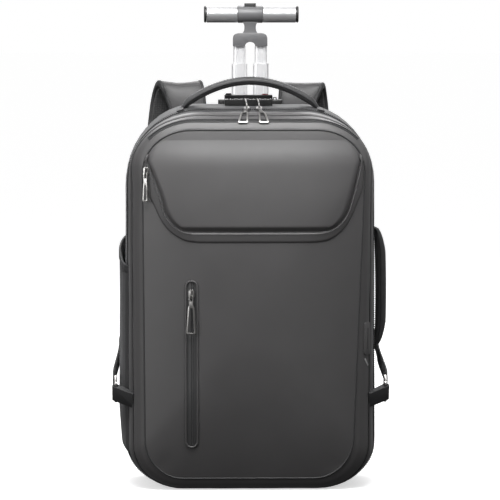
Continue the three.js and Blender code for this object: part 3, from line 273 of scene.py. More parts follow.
# %% Helper for lofts
def loft(rings, closed=True, capped=False):
    bm = bmesh.new()
    row_of = bm.verts.layers.int.new("row")
    place_of = bm.verts.layers.int.new("place")
    count = len(rings[0])
    row = [bm.verts.new(p) for p in rings[0]]
    for k, vert in enumerate(row):
        vert[place_of] = k
    spans = count if closed else count - 1
    edges = [bm.edges.new((row[k], row[(k + 1) % count])) for k in range(spans)]
    if capped:
        bmesh.ops.edgenet_fill(bm, edges=edges)
    for r, ring in enumerate(rings[1:], 1):
        grown = bmesh.ops.extrude_edge_only(bm, edges=edges)["geom"]
        fresh = {g for g in grown if isinstance(g, bmesh.types.BMVert)}
        edges = [g for g in grown if isinstance(g, bmesh.types.BMEdge) and set(g.verts) <= fresh]
        for vert in fresh:
            vert.co = ring[vert[place_of]]
            vert[row_of] = r
    if capped:
        bmesh.ops.edgenet_fill(bm, edges=edges)
    around = [[0.0] for _ in rings]
    for line, ring in zip(around, rings):
        for k in range(count):
            line.append(line[-1] + (Vector(ring[(k + 1) % count]) - Vector(ring[k])).length)
    along = [0.0]
    for a, b in zip(rings, rings[1:]):
        along.append(along[-1] + sum((Vector(p) - Vector(q)).length for p, q in zip(a, b)) / count)
    uv = bm.loops.layers.uv.new("UVMap")
    for face in bm.faces:
        wraps = closed and {0, count - 1} <= {v[place_of] for v in face.verts} and len(face.verts) < 5
        for corner in face.loops:
            k, r = corner.vert[place_of], corner.vert[row_of]
            corner[uv].uv = (around[r][count if wraps and k == 0 else k], along[r])
    bmesh.ops.remove_doubles(bm, verts=bm.verts[:], dist=1e-6)
    bmesh.ops.recalc_face_normals(bm, faces=bm.faces[:])
    return bm


def lerp(a, b, t):
    return a + (b - a) * t


def smooth_step(low, high, value):
    t = min(1.0, max(0.0, (value - low) / (high - low)))
    return t * t * (3 - 2 * t)


def curve_through(points, steps):
    """A smooth line through points, as evenly timed samples of a Catmull-Rom spline."""
    points = [Vector(p) for p in points]
    ends = [points[0] * 2 - points[1], *points, points[-1] * 2 - points[-2]]
    line = []
    for i in range(steps + 1):
        place = i / steps * (len(points) - 1)
        k = min(len(points) - 2, int(place))
        t = place - k
        a, b, c, d = ends[k:k + 4]
        second, third = 2 * a - 5 * b + 4 * c - d, 3 * b - a - 3 * c + d
        line.append(0.5 * (2 * b + (c - a) * t + second * t**2 + third * t**3))
    return line


# %% [markdown]
# The bag's body is described as the maker cuts it: outlines at a few depths, from the front seam to the
# back seam, each with its half width, its top and bottom and its rounded corners. These are the same sizes
# that the solids have, so each cloth lies where its solid is.

# %% The body's outline
BODY_WIDTH, BODY_HEIGHT, CASE_DEPTH = 0.326, 0.4915, 0.170
FRONT_SEAM_Y, FRONT_CROWN, FRONT_LEAN = -0.078, 0.024, 0.008
COLUMNS = ("y", "half", "foot", "top", "bottom", "top_w", "top_h", "foot_w", "foot_h")
SECTIONS = [
    dict(zip(COLUMNS, row))
    for row in (
        (0.0, 0.877, 0.826, 0.945, 0.031, 0.38, 0.11, 0.31, 0.108),
        (0.032, 0.902, 0.865, 0.962, 0.016, 0.43, 0.118, 0.34, 0.11),
        (0.059, 0.919, 0.89, 0.97, 0.01, 0.466, 0.124, 0.37, 0.112),
        (0.118, 0.945, 0.935, 0.981, 0.002, 0.552, 0.138, 0.405, 0.114),
        (0.224, 0.963, 0.968, 0.988, 0, 0.564, 0.173, 0.44, 0.116),
        (0.33, 0.975, 0.985, 0.9955, 0, 0.564, 0.197, 0.466, 0.118),
        (0.576, 0.982, 0.994, 1, 0, 0.552, 0.214, 0.478, 0.118),
        (0.812, 0.982, 0.994, 1, 0, 0.552, 0.214, 0.478, 0.118),
        (1.0, 0.966, 0.978, 0.991, 0.006, 0.54, 0.211, 0.454, 0.112),
    )
]
DEEP_SEAM, MAIN_ZIP = SECTIONS[3]["y"], (SECTIONS[4]["y"], SECTIONS[5]["y"])
CORNER_STEPS, SIDE_STEPS, FLAT_STEPS = 12, 16, 8
GAP = 0.0003  # between neighbouring pieces
RIGHT_SIDE = 0.05  # points of an outline beyond this belong to its right side


def depth_y(share):
    return FRONT_SEAM_Y + share * CASE_DEPTH


def section(share):
    k = next((i for i, row in enumerate(SECTIONS) if row["y"] >= share - 1e-9), len(SECTIONS) - 1)
    a, b = SECTIONS[max(0, k - 1)], SECTIONS[max(1, k)]
    t = (share - a["y"]) / (b["y"] - a["y"])
    return {key: lerp(a[key], b[key], t) for key in COLUMNS}


def outline(share, out=0.0):
    """The points (x, z) of one outline, from the middle of the bottom round by the right side."""
    s, half = section(share), BODY_WIDTH / 2
    top, bottom = s["top"] * BODY_HEIGHT + out, s["bottom"] * BODY_HEIGHT - out
    top_w, top_h = s["top_w"] * half + out, s["top_h"] * BODY_HEIGHT + out
    foot_w, foot_h = s["foot_w"] * half + out, s["foot_h"] * BODY_HEIGHT + out
    upper, lower = s["half"] * half + out, s["foot"] * half + out
    side = [((lower - foot_w) * i / FLAT_STEPS, bottom) for i in range(1, FLAT_STEPS)]
    for i in range(CORNER_STEPS + 1):
        a = i / CORNER_STEPS * math.pi / 2
        side.append((lower - foot_w + foot_w * math.sin(a), bottom + foot_h - foot_h * math.cos(a)))
    for i in range(1, SIDE_STEPS):
        t = i / SIDE_STEPS
        side.append((lerp(lower, upper, t), lerp(bottom + foot_h, top - top_h, t)))
    for i in range(CORNER_STEPS + 1):
        a = i / CORNER_STEPS * math.pi / 2
        side.append((upper - top_w + top_w * math.cos(a), top - top_h + top_h * math.sin(a)))
    side += [((upper - top_w) * (1 - i / FLAT_STEPS), top) for i in range(1, FLAT_STEPS)]
    lean = FRONT_LEAN * max(0.0, 1 - share / DEEP_SEAM)
    whole = [(0.0, bottom), *side, (0.0, top), *[(-x, z) for x, z in reversed(side)]]
    return [(x + lean * (z / BODY_HEIGHT - 0.5), z) for x, z in whole]


OUTLINE_POINTS = len(outline(0.5))


def body_ring(share, relief):
    """An outline as points in space, each moved outwards by relief(share, place round it, x, z)."""
    flat = outline(share)
    ring = []
    for k, (x, z) in enumerate(flat):
        (ax, az), (bx, bz) = flat[k - 1], flat[(k + 1) % len(flat)]
        normal = Vector((bz - az, ax - bx)).normalized()
        out = relief(share, k / len(flat), x, z)
        ring.append(Vector((x + normal.x * out, depth_y(share), max(0.0, z + normal.y * out))))
    return ring


def crossing(line, value, clamped=False):
    """The first number of a line of pairs, at the place where the second one passes a value."""
    k = max(1, next((i for i, p in enumerate(line) if p[1] >= value), len(line) - 1))
    (a, low), (b, high) = line[k - 1], line[k]
    t = (value - low) / (high - low) if abs(high - low) > 1e-9 else 0.0
    return lerp(a, b, min(1.0, max(0.0, t)) if clamped else t)


def half_width(share, z):
    """Half the body's width at a height."""
    return crossing([p for p in outline(share) if p[0] > RIGHT_SIDE], z)


def top_height(share, x):
    """The height of the body's upper surface off the middle."""
    ring = sorted(p for p in outline(share) if p[1] > BODY_HEIGHT / 2)
    return crossing([(z, at) for at, z in ring], x)


print("outline:", OUTLINE_POINTS, "points")

# %% [markdown]
# The case is sewn from cloth bands that meet at seams. Between two seams the cloth swells a little; at a
# seam it is drawn in, and the thread puckers it in short waves that die out away from it. Lower down the
# unstiffened sides hang in long soft folds. Rows of outlines carry all of this as an offset along the
# outline's normal.

# %% Cloth bands of the case
SEAM_DRAW, SEAM_SPREAD = 0.0016, 0.0035  # how deep a seam draws the cloth in, and how far off it shows
PUCKER_PITCH, PUCKER_HEIGHT, PUCKER_SPREAD = 0.011, 0.00022, 0.012
OUTLINE_LENGTH = 1.45  # once round the case, about
CASE_WALL = 0.0022
SEAM_GAP = 0.0002  # between the cloths that meet at a seam


def band_relief(low, high, swell, fold, seed):
    def relief(share, place, x, z):
        t = (share - low) / (high - low)
        wide = (high - low) * CASE_DEPTH
        edge = min(t, 1 - t) * wide
        bulge = swell * math.sin(math.pi * t) ** 0.6 if 0 < t < 1 else 0.0
        drawn = -SEAM_DRAW * (1 - smooth_step(0.0, SEAM_SPREAD, edge))
        walk = place * OUTLINE_LENGTH
        wave = math.sin(2 * math.pi * walk / PUCKER_PITCH + 3 * noise.noise(Vector((walk * 30, seed, 0))))
        pucker = PUCKER_HEIGHT * wave * (1 - smooth_step(0.0, PUCKER_SPREAD, edge))
        spot = Vector((x * 9 + seed, share * 5, z * 7))
        soft = fold * noise.noise(spot) + 0.4 * fold * noise.noise(spot * 2.7)
        return bulge + drawn + pucker + soft * smooth_step(0.0, PUCKER_SPREAD, edge)

    return relief


def case_band(name, node, low, high, rows, swell, fold, seed):
    trim = SEAM_GAP / CASE_DEPTH
    shares = [lerp(low + trim, high - trim, i / rows) for i in range(rows + 1)]
    relief = band_relief(low, high, swell, fold, seed)
    bm = loft([body_ring(share, relief) for share in shares])
    return finished(name, bm, COATED, replaces=node, wall=CASE_WALL)


FRONT_BAND = case_band("front_side_cloth", "front_gusset", 0.0, DEEP_SEAM, 16, 0.0006, 0.0003, 3)
MAIN_FRONT = case_band("main_side_cloth", "main_gusset_front", DEEP_SEAM, MAIN_ZIP[0], 12, 0.0012, 0.0006, 11)
print("case bands:", FRONT_BAND.name, MAIN_FRONT.name)

# %% [markdown]
# Two of the seams are zips. On the real bag a zip is two ribbed tapes sewn under the cloth's edges, with a
# coil of teeth where they meet. The main zip runs all the way round; the front compartment's zip is seen as
# a dark band over the shoulders. Each is a thin strip lofted along the outline, with its teeth as small
# blocks on the coil.

# %% Zips of the case
TOOTH_PITCH, TOOTH_EDGE = 0.0026, 0.0002


def zip_strip(name, low, high, keep, replaces=(), lift=0.0):
    """A strip between two shares of the depth, over the points that keep() wants; gives its crest."""
    profile = (  # share across the strip, height over the cloth
        (0.0, -0.0014), (0.0, 0.0), (0.3, 0.0003), (0.38, 0.0001), (0.42, 0.0008), (0.5, 0.0012),
        (0.58, 0.0008), (0.62, 0.0001), (0.7, 0.0003), (1.0, 0.0), (1.0, -0.0014),
    )
    rings = [body_ring(lerp(low, high, t), lambda *_, h=h: h + lift) for t, h in profile]
    kept = [k for k in range(OUTLINE_POINTS) if keep(*rings[0][k])]
    start = next((i for i, k in enumerate(kept) if kept[i - 1] != k - 1), 0)
    order = kept[start:] + kept[:start]
    whole = len(kept) == OUTLINE_POINTS
    if whole:
        order.append(order[0])
    bm = loft([[ring[k] for ring in rings] for k in order], closed=True, capped=not whole)
    finished(name, bm, TAPE, replaces=replaces)
    crest = rings[len(profile) // 2]
    return [crest[k] for k in order]


def zip_teeth(name, crest, size):
    """Small blocks on a zip's coil, evenly spaced along its crest."""
    bm = bmesh.new()
    spare, made = 0.0, 0
    for a, b in zip(crest, crest[1:]):
        way = b - a
        while spare < way.length:
            at = a + way.normalized() * spare
            side = Vector((0, 1, 0))
            turn = Matrix((way.normalized(), side, way.normalized().cross(side))).transposed().to_4x4()
            scale = Matrix.Diagonal((size[0], size[1], size[2], 1))
            bmesh.ops.create_cube(bm, size=1.0, matrix=Matrix.Translation(at) @ turn @ scale)
            spare += TOOTH_PITCH
            made += 1
        spare -= way.length
    bmesh.ops.bevel(
        bm, geom=bm.edges[:], offset=TOOTH_EDGE, offset_type="OFFSET", segments=1, profile=0.5,
        material=-1, affect="EDGES",
    )
    print(name, made, "teeth")
    return finished(name, bm, TAPE)


main_crest = zip_strip("main_zip_tapes", *MAIN_ZIP, keep=lambda x, y, z: True, replaces="main_zip")
zip_teeth("main_zip_teeth", main_crest, (0.0015, 0.0034, 0.0012))
FRONT_ZIP_TOP = 0.447  # the front compartment's zip shows above this height
front_crest = zip_strip(
    "front_top_zip", 0.031, 0.06, keep=lambda x, y, z: z > FRONT_ZIP_TOP, lift=0.0009
)
zip_teeth("front_top_zip_teeth", front_crest, (0.0015, 0.0018, 0.0009))

# %% [markdown]
# The rear part of the case is one wide band of plain weave behind the main zip. It isn't stiffened, so it
# shows folds. Where the moulded wheel base closes the foot of the back, the cloth ends at the base's upper
# edge: the same planes that part the solids cut it, with bisect_plane, and a slot is left for the trolley's
# tubes.

# %% Rear case
BASE_FRONT, BASE_TOP = 0.79, 0.072
REAR_ROWS = 34
REAR_TRIM = 0.001  # the share of the depth left open at each end
TUBE_CLEARANCE = 0.0004
SHOULDER = 0.9 * BODY_HEIGHT  # the slot is cut only above this height


def rear_case():
    relief = band_relief(MAIN_ZIP[1], 1.0, 0.0015, 0.0011, 23)
    start, end = MAIN_ZIP[1] + REAR_TRIM, 1 - REAR_TRIM
    shares = [lerp(start, end, i / REAR_ROWS) for i in range(REAR_ROWS + 1)]
    bm = loft([body_ring(share, relief) for share in shares])
    front, top = depth_y(BASE_FRONT) - GAP, BASE_TOP + GAP
    for point, normal in (((0, front, 0), (0, 1, 0)), ((0, 0, top), (0, 0, 1))):
        geom = bm.verts[:] + bm.edges[:] + bm.faces[:]
        bmesh.ops.bisect_plane(bm, geom=geom, plane_co=point, plane_no=normal)
    low = [f for f in bm.faces if f.calc_center_median().y > front and f.calc_center_median().z < top]
    bmesh.ops.delete(bm, geom=low, context="FACES")
    tube_low, tube_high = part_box("fixed_tube_left")[0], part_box("fixed_tube_right")[1]
    left, right = tube_low.x - TUBE_CLEARANCE, tube_high.x + TUBE_CLEARANCE
    near, far = tube_low.y - TUBE_CLEARANCE, tube_high.y + TUBE_CLEARANCE
    planes = [
        ((left, 0, 0), (1, 0, 0)), ((right, 0, 0), (1, 0, 0)),
        ((0, near, 0), (0, 1, 0)), ((0, far, 0), (0, 1, 0)),
    ]
    for point, normal in planes:
        upper = [f for f in bm.faces if f.calc_center_median().z > SHOULDER]
        geom = list({v for f in upper for v in f.verts}) + list({e for f in upper for e in f.edges}) + upper
        bmesh.ops.bisect_plane(bm, geom=geom, plane_co=point, plane_no=normal)
    slot = [
        f for f in bm.faces
        if f.calc_center_median().z > SHOULDER
        and left < f.calc_center_median().x < right
        and near < f.calc_center_median().y < far
    ]
    bmesh.ops.delete(bm, geom=slot, context="FACES")
    return finished("rear_side_cloth", bm, WOVEN, replaces="main_gusset_rear", wall=CASE_WALL)


REAR_CASE = rear_case()
print("rear case:", len(REAR_CASE.data.polygons), "faces")

# %% [markdown]
# The front is a padded panel that swells out of its seam: steep near the seam, then nearly flat. How far
# out a point lies, from 0 in the middle to 1 at the seam, gives the height of the swelling. Foam never lies
# quite even, so long shallow dents are added, and the cloth is drawn in along the seam where the piping
# holds it.

# %% Front panel
FRONT_MIDDLE = 0.46 * BODY_HEIGHT
FRONT_FULLNESS = 2.6
SEAM_RING = outline(0.0)


def spread(x, z):
    dx, dz = x, z - FRONT_MIDDLE
    if math.hypot(dx, dz) < 1e-6:
        return 0.0
    for k, (bx, bz) in enumerate(SEAM_RING):
        ax, az = SEAM_RING[k - 1]
        az, bz = az - FRONT_MIDDLE, bz - FRONT_MIDDLE
        det = dx * (az - bz) - dz * (ax - bx)
        if abs(det) < 1e-15:
            continue
        along = (dx * az - dz * ax) / det
        reach = (ax * (az - bz) - az * (ax - bx)) / det
        if -1e-9 <= along <= 1 + 1e-9 and reach > 0:
            return 1 / reach
    return 1.0


def front_dents(x, z, s):
    """Shallow dents of the foam, and a crease at each lower corner, as a depth in metres."""
    spot = Vector((x * 11, 4.0, z * 8))
    soft = 0.0009 * noise.noise(spot) + 0.0004 * noise.noise(spot * 2.3)
    crease = 0.0
    for cx, cz, turn, strength in ((0.112, 0.026, 0.9, 0.0016), (-0.115, 0.033, -0.8, 0.0010)):
        across = (x - cx) * math.sin(turn) + (z - cz) * math.cos(turn)
        along = (x - cx) * math.cos(turn) - (z - cz) * math.sin(turn)
        crease += strength * math.exp(-((across / 0.004) ** 2) - (along / 0.018) ** 2)
    return (soft * (1 - s**6) - crease) * (1.0 if s < 1 else 0.0)


def front_y(x, z):
    s = min(1.0, spread(x, z))
    return FRONT_SEAM_Y - FRONT_CROWN * (1 - s**FRONT_FULLNESS) - front_dents(x, z, s)


def front_panel():
    steps = [1.0, 0.996, 0.99, 0.98, 0.965, 0.95, 0.93, 0.91, 0.885, 0.86, 0.83, 0.8]
    steps += [0.8 - 0.04 * i for i in range(1, 20)]
    rings = []
    for s in steps:
        flat = [(x * s, FRONT_MIDDLE + (z - FRONT_MIDDLE) * s) for x, z in SEAM_RING]
        rings.append([Vector((x, min(FRONT_SEAM_Y - SEAM_GAP, front_y(x, z)), z)) for x, z in flat])
    bm = loft(rings)
    inner = [e for e in bm.edges if e.is_boundary and all(abs(v.co.x) < 0.03 for v in e.verts)]
    bmesh.ops.edgenet_fill(bm, edges=inner)
    bmesh.ops.recalc_face_normals(bm, faces=bm.faces[:])
    return finished("front_padding", bm, COATED, replaces="front_panel", wall=CASE_WALL)


FRONT = front_panel()
print("front panel:", len(FRONT.data.polygons), "faces")

# %% [markdown]
# Seams on such bags are finished with piping: a thin cord sewn into a folded strip. It is swept as a small
# round section along the seam.

# %% Piping
def oval(sides, squareness):
    """Points round a section one unit in radius: an ellipse at squareness 2, and boxier above."""
    points = []
    for k in range(sides):
        a = math.tau * (k + 0.5) / sides
        points.append([math.copysign(abs(v) ** (2 / squareness), v) for v in (math.cos(a), math.sin(a))])
    return points


def sweep(path, width, height, closed=True, sides=10, up=Vector((0, -1, 0)), squareness=2.0, taper=1.0):
    """Rings of an oval section along a path."""
    rings = []
    for i, at in enumerate(path):
        before = path[i - 1] if closed or i else at
        after = path[(i + 1) % len(path)] if closed or i < len(path) - 1 else at
        way = (after - before).normalized()
        side = way.cross(up).normalized()
        rise = side.cross(way)
        grow = 1.0 if closed else lerp(taper, 1.0, min(1.0, min(i, len(path) - 1 - i) / 2))
        rings.append([
            at + side * (across * width / 2 * grow) + rise * (up_by * height / 2 * grow)
            for across, up_by in oval(sides, squareness)
        ])
    return loft([*rings, rings[0]] if closed else rings, closed=True, capped=not closed)


def piping(name, share, out, thickness):
    path = body_ring(share, lambda *_: out)
    return finished(name, sweep(path, thickness, thickness), HANDLE_CLOTH)


piping("front_seam_piping", 0.0, -0.0008, 0.0024)
piping("deep_seam_piping", DEEP_SEAM, -0.0006, 0.0018)
piping("back_seam_piping", 0.999, -0.0006, 0.0046)
print("piping: 3 seams")

# %% [markdown]
# The upper pocket is a padded panel laid on the front, wide at the shoulders and narrowing in a smooth
# curve to a flat foot. A band slopes from it down to the front panel all round its foot. Its edges are
# given as heights and distances from the middle, left and right, and a grid is stretched between the two
# edges and lifted off the front.

# %% Upper pocket
POCKET_EDGE = (
    (0.882, 0.842, 0.871), (0.806, 0.753, 0.818), (0.769, 0.712, 0.789),
    (0.727, 0.674, 0.745), (0.7, 0.614, 0.68), (0.6855, 0.54, 0.595), (0.6815, 0.46, 0.5),
)
LIP_EDGE = (
    (0.862, 0.85, 0.9), (0.79, 0.831, 0.874), (0.745, 0.767, 0.82),
    (0.708, 0.712, 0.768), (0.679, 0.64, 0.7), (0.6565, 0.53, 0.6), (0.6505, 0.42, 0.49),
)
POCKET_TOP = (0.902, 0.921, 0.933)
POCKET_SEAM = 0.0012
SEAM_MARGIN = 0.985


def seam_reach(z, side):
    return crossing(sorted((p for p in SEAM_RING if p[0] * side > 0), key=lambda p: p[1]), z)


def inside_seam(x, z):
    limit = abs(seam_reach(z, x)) * SEAM_MARGIN
    return (math.copysign(min(abs(x), limit), x), z)


def edge_line(table, side, steps):
    column = 1 if side < 0 else 2
    points = [(side * row[column] * BODY_WIDTH / 2, 0.0, row[0] * BODY_HEIGHT) for row in table]
    return [inside_seam(p.x, p.z) for p in curve_through(points, steps)]


def front_grid(name, inner, outer, across, lift, material, replaces=(), wall=0.0018):
    """A sheet between two edges on the front, lift(u across, v along, x, z) above it."""
    rows = len(inner) - 1
    bm = bmesh.new()
    bmesh.ops.create_grid(bm, x_segments=across, y_segments=rows, size=1.0)
    for vert in bm.verts:
        u, v = (vert.co.x + 1) / 2, (vert.co.y + 1) / 2
        k = min(rows, round(v * rows))
        x, z = (lerp(a, b, u) for a, b in zip(inner[k], outer[k]))
        vert.co = (x, front_y(x, z) - lift(u, v, x, z), z)
    bmesh.ops.recalc_face_normals(bm, faces=bm.faces[:])
    if sum(f.normal.y for f in bm.faces) > 0:
        bmesh.ops.reverse_faces(bm, faces=bm.faces[:])
    return finished(name, bm, material, replaces=replaces, wall=wall, sharp=60)


POCKET_LIFT = 0.0050
POCKET_FADE = 0.040  # distance below the front seam over which the padding grows
POCKET_ROWS = 30


def pocket_edge(side):
    foot = edge_line(POCKET_EDGE, side, POCKET_ROWS)[::-1]
    head = curve_through(
        [(foot[-1][0], 0, foot[-1][1])]
        + [(inside_seam(side * BODY_WIDTH / 2, s * BODY_HEIGHT)[0], 0, s * BODY_HEIGHT) for s in POCKET_TOP],
        10,
    )
    return foot + [(p.x, p.z) for p in head[1:]]


def pocket_lift(u, v, x, z):
    left, right = pocket_limits(z)
    top = (POCKET_TOP[-1] * BODY_HEIGHT) - z
    rim = min(x - left, right - x, z - POCKET_EDGE[-1][0] * BODY_HEIGHT)
    pad = smooth_step(-0.0012, 0.0065, rim) * smooth_step(-0.001, POCKET_FADE, top)
    sag = 0.0010 * math.sin(math.pi * min(1.0, max(0.0, u))) * smooth_step(0.0, 0.5, 1 - v)
    return -0.0006 + (POCKET_LIFT + sag) * pad


POCKET_SIDES = [pocket_edge(-1), pocket_edge(1)]


def pocket_limits(z):
    return [crossing(line, z, clamped=True) for line in POCKET_SIDES]


POCKET = front_grid(
    "upper_pocket_padding", *POCKET_SIDES, 110, pocket_lift, COATED, replaces="upper_pocket_panel"
)

LIP_STEPS = 34


def lip_path(table, gap):
    down = [inside_seam(x - gap, z - gap / 2) for x, z in edge_line(table, -1, LIP_STEPS)]
    up = [inside_seam(x + gap, z - gap / 2) for x, z in edge_line(table, 1, LIP_STEPS)][::-1]
    floor = [(lerp(down[-1][0], up[0][0], i / 40), down[-1][1]) for i in range(1, 40)]
    return down + floor + up


def lip_lift(u, v, x, z):
    roll = smooth_step(0.0, 0.12, u) * (1 - smooth_step(0.80, 1.0, u))
    return lerp(0.0040, 0.0016, u) * roll - 0.0004


LIP_LINES = [lip_path(POCKET_EDGE, POCKET_SEAM), lip_path(LIP_EDGE, 0.0)]
front_grid("upper_pocket_band", *LIP_LINES, 14, lip_lift, COATED, replaces="upper_pocket_lip", wall=0.0015)
print("upper pocket:", len(POCKET.data.polygons), "faces in the panel")

# %% [markdown]
# Stitches are real thread: short rounded rods, one after another along a line with small gaps. Each is a
# small icosphere drawn out along the line, which costs few faces and catches the light as thread does.

# %% Stitching
STITCH, STITCH_GAP, STITCH_THICK = 0.0026, 0.0011, 0.0005


def evenly(path, step):
    """Points and directions every step along a path."""
    found, spare = [], step / 2
    for a, b in zip(path, path[1:]):
        way = b - a
        while spare < way.length:
            found.append((a + way.normalized() * spare, way.normalized()))
            spare += step
        spare -= way.length
    return found


def stitches(name, paths):
    bm = bmesh.new()
    count = 0
    for path in paths:
        for at, way in evenly(path, STITCH + STITCH_GAP):
            turn = way.to_track_quat("X", "Z").to_matrix().to_4x4()
            scale = Matrix.Diagonal((STITCH, STITCH_THICK, STITCH_THICK, 1))
            matrix = Matrix.Translation(at) @ turn @ scale
            bmesh.ops.create_icosphere(bm, subdivisions=1, radius=0.5, matrix=matrix)
            count += 1
    print(name, count, "stitches")
    return finished(name, bm, THREAD, sharp=180)


def on_front(points, lift):
    return [Vector((x, front_y(x, z) - lift, z)) for x, z in points]


def inset_line(line_a, line_b, t):
    return [(lerp(a[0], b[0], t), lerp(a[1], b[1], t)) for a, b in zip(line_a, line_b)]


stitches("pocket_stitches", [on_front(inset_line(*LIP_LINES, 0.2), 0.0036)])

# %% [markdown]
# The long zip on the lower left is a water-resistant one: two coated tapes whose edges meet in the middle,
# sunk in a slot with a raised, smooth rim. The rim is swept round the slot's outline; the tape is a grid
# narrowed at its ends, with a groove down the middle.

# %% Front zip
ZIP_X, ZIP_BOTTOM, ZIP_TOP = -0.077, 0.0565, 0.273
RIM_WIDTH, RIM_THICK, TAPE_WIDTH = 0.0025, 0.0026, 0.0126


def slot_line(width, low, high, steps=14):
    radius = width / 2
    line = []
    for start, middle in ((0.0, high - radius), (math.pi, low + radius)):
        for i in range(steps + 1):
            a = start + math.pi * i / steps
            line.append((ZIP_X + radius * math.cos(a), middle + radius * math.sin(a)))
        side = -1 if start == 0.0 else 1
        other = low + radius if start == 0.0 else high - radius
        line += [(ZIP_X + side * radius, lerp(middle, other, i / 24)) for i in range(1, 24)]
    return line


rim_line = on_front(
    slot_line(TAPE_WIDTH + RIM_WIDTH - 0.0004, ZIP_BOTTOM + 0.0012, ZIP_TOP - 0.0012), 0.0007
)
finished(
    "front_zip_rim",
    sweep(rim_line, RIM_WIDTH, RIM_THICK, squareness=2.6, sides=12),
    COATED,
    replaces="front_zip_bezel",
)
outer_line = on_front(
    slot_line(TAPE_WIDTH + 2 * RIM_WIDTH + 0.0012, ZIP_BOTTOM - 0.0007, ZIP_TOP + 0.0007), 0.00025
)
stitches("front_zip_stitches", [outer_line + outer_line[:1]])

TAPE_ROWS = 90


def tape_edge(side):
    radius = TAPE_WIDTH / 2
    low, high = ZIP_BOTTOM + RIM_WIDTH, ZIP_TOP - RIM_WIDTH
    line = []
    for i in range(TAPE_ROWS + 1):
        z = lerp(low, high, 0.5 - 0.5 * math.cos(math.pi * i / TAPE_ROWS))
        short = max(0.0, radius - min(z - low, high - z))
        line.append((ZIP_X + side * math.sqrt(max(1e-8, radius**2 - short**2)), z))
    return line


def tape_lift(u, v, x, z):
    off = abs(x - ZIP_X)
    groove = 0.0007 * (1 - smooth_step(0.0001, 0.0008, off))
    ridge = 0.0005 * (1 - smooth_step(0.0012, 0.0030, off))
    return 0.0002 + ridge - groove


front_grid(
    "front_zip_tapes", tape_edge(-1), tape_edge(1), 24, tape_lift, SEALED, replaces="front_zip_tape",
    wall=0.001,
)
print("front zip: from", ZIP_BOTTOM, "to", ZIP_TOP)

# %% [markdown]
# Small hard pieces already have their true shape in the solids, but their edges are knife sharp. A real
# edge has a small radius that catches the light. Each is copied, its triangles are merged to flat faces,
# and its sharp edges are bevelled; the copy then stands for the solid.

# %% Hard pieces with softened edges
SHARP_EDGE = math.radians(25)


def dressed(node, material, edge):
    bm = bmesh.new()
    bm.from_mesh(frame["nodes"][node].data)
    bmesh.ops.remove_doubles(bm, verts=bm.verts[:], dist=2e-6)
    bmesh.ops.dissolve_limit(
        bm, angle_limit=math.radians(1.5), use_dissolve_boundaries=False, verts=bm.verts[:], edges=bm.edges[:]
    )
    sharp = [e for e in bm.edges if len(e.link_faces) == 2 and e.calc_face_angle(0.0) > SHARP_EDGE]
    bmesh.ops.bevel(
        bm, geom=sharp, offset=edge, offset_type="OFFSET", segments=2, profile=0.5, material=-1,
        affect="EDGES", clamp_overlap=True,
    )
    body = frame["nodes"][node]["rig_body"]
    return finished(node + "_dressed", bm, material, body=body, replaces=node, sharp=35)


for node, material, edge in (
    ("front_zip_slider", NICKEL, 0.00025), ("front_zip_pull", NICKEL, 0.0003),
    ("upper_zip_slider", NICKEL, 0.00025), ("upper_zip_pull", NICKEL, 0.0003),
    ("main_zip_left_slider", NICKEL, 0.0002), ("main_zip_left_pull", NICKEL, 0.0003),
    ("main_zip_right_slider", NICKEL, 0.0002), ("main_zip_right_pull", NICKEL, 0.0003),
    ("lock_base", BLACK_MOULDED, 0.0006), ("lock_trim", BRIGHT, 0.0003),
    ("lock_cover", BLACK_MOULDED, 0.0008), ("lock_knob", BLACK_MOULDED, 0.0004),
    ("lock_cap", RED_MOULDED, 0.0003), ("lock_loop", BRIGHT, 0.0003),
    ("trolley_bezel", BLACK_MOULDED, 0.0009), ("trolley_yoke", GREY_MOULDED, 0.0008),
    ("push_button", BLACK_MOULDED, 0.0005), ("wheel_base", BLACK_MOULDED, 0.0012),
    ("side_ring_left", NICKEL, 0.0006), ("side_ring_right", NICKEL, 0.0006), ("port_tag", BRIGHT, 0.0003),
    ("axle_left", BRIGHT, 0.0003), ("axle_right", BRIGHT, 0.0003),
    ("fixed_tube_left", DRAWN, 0.0006), ("fixed_tube_right", DRAWN, 0.0006),
):
    dressed(node, material, edge)
print("hard pieces dressed")

# %% [markdown]
# The grip and the wheels are turned shapes: half a profile is spun about its axis. The full turn is merged,
# and so are the two poles.

# %% Grip and wheels
def turned(name, profile, centre, material, node, steps=64):
    """profile holds (place along X, radius); the piece stands for the node."""
    bm = bmesh.new()
    verts = [bm.verts.new((x, 0.0, r)) for x, r in profile]
    edges = [bm.edges.new(pair) for pair in zip(verts, verts[1:])]
    bmesh.ops.spin(
        bm, geom=verts + edges, cent=(0, 0, 0), axis=(1, 0, 0), angle=math.tau, steps=steps, use_merge=True
    )
    bmesh.ops.remove_doubles(bm, verts=bm.verts[:], dist=1e-6)
    bmesh.ops.recalc_face_normals(bm, faces=bm.faces[:])
    bmesh.ops.translate(bm, verts=bm.verts[:], vec=centre)
    return finished(name, bm, material, body=frame["nodes"][node]["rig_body"], replaces=node, sharp=32)


def rod_profile(half, radius, edge):
    near = [(-half, 0), (-half, radius - edge), (-half + edge, radius)]
    return near + [(half - edge, radius), (half, radius - edge), (half, 0)]


def axis_of(node):
    low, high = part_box(node)
    return (low + high) / 2, (high - low) / 2


for node, material, edge in (
    ("grip_bar_left", TURNED, 0.0006), ("grip_bar_right", TURNED, 0.0006),
    ("grip_cap_left", BLACK_MOULDED, 0.0010), ("grip_cap_right", BLACK_MOULDED, 0.0010),
):
    centre, half = axis_of(node)
    turned(node + "_turned", rod_profile(half.x, half.z, edge), centre, material, node)

dressed("grip_hub", GREY_MOULDED, 0.0007)

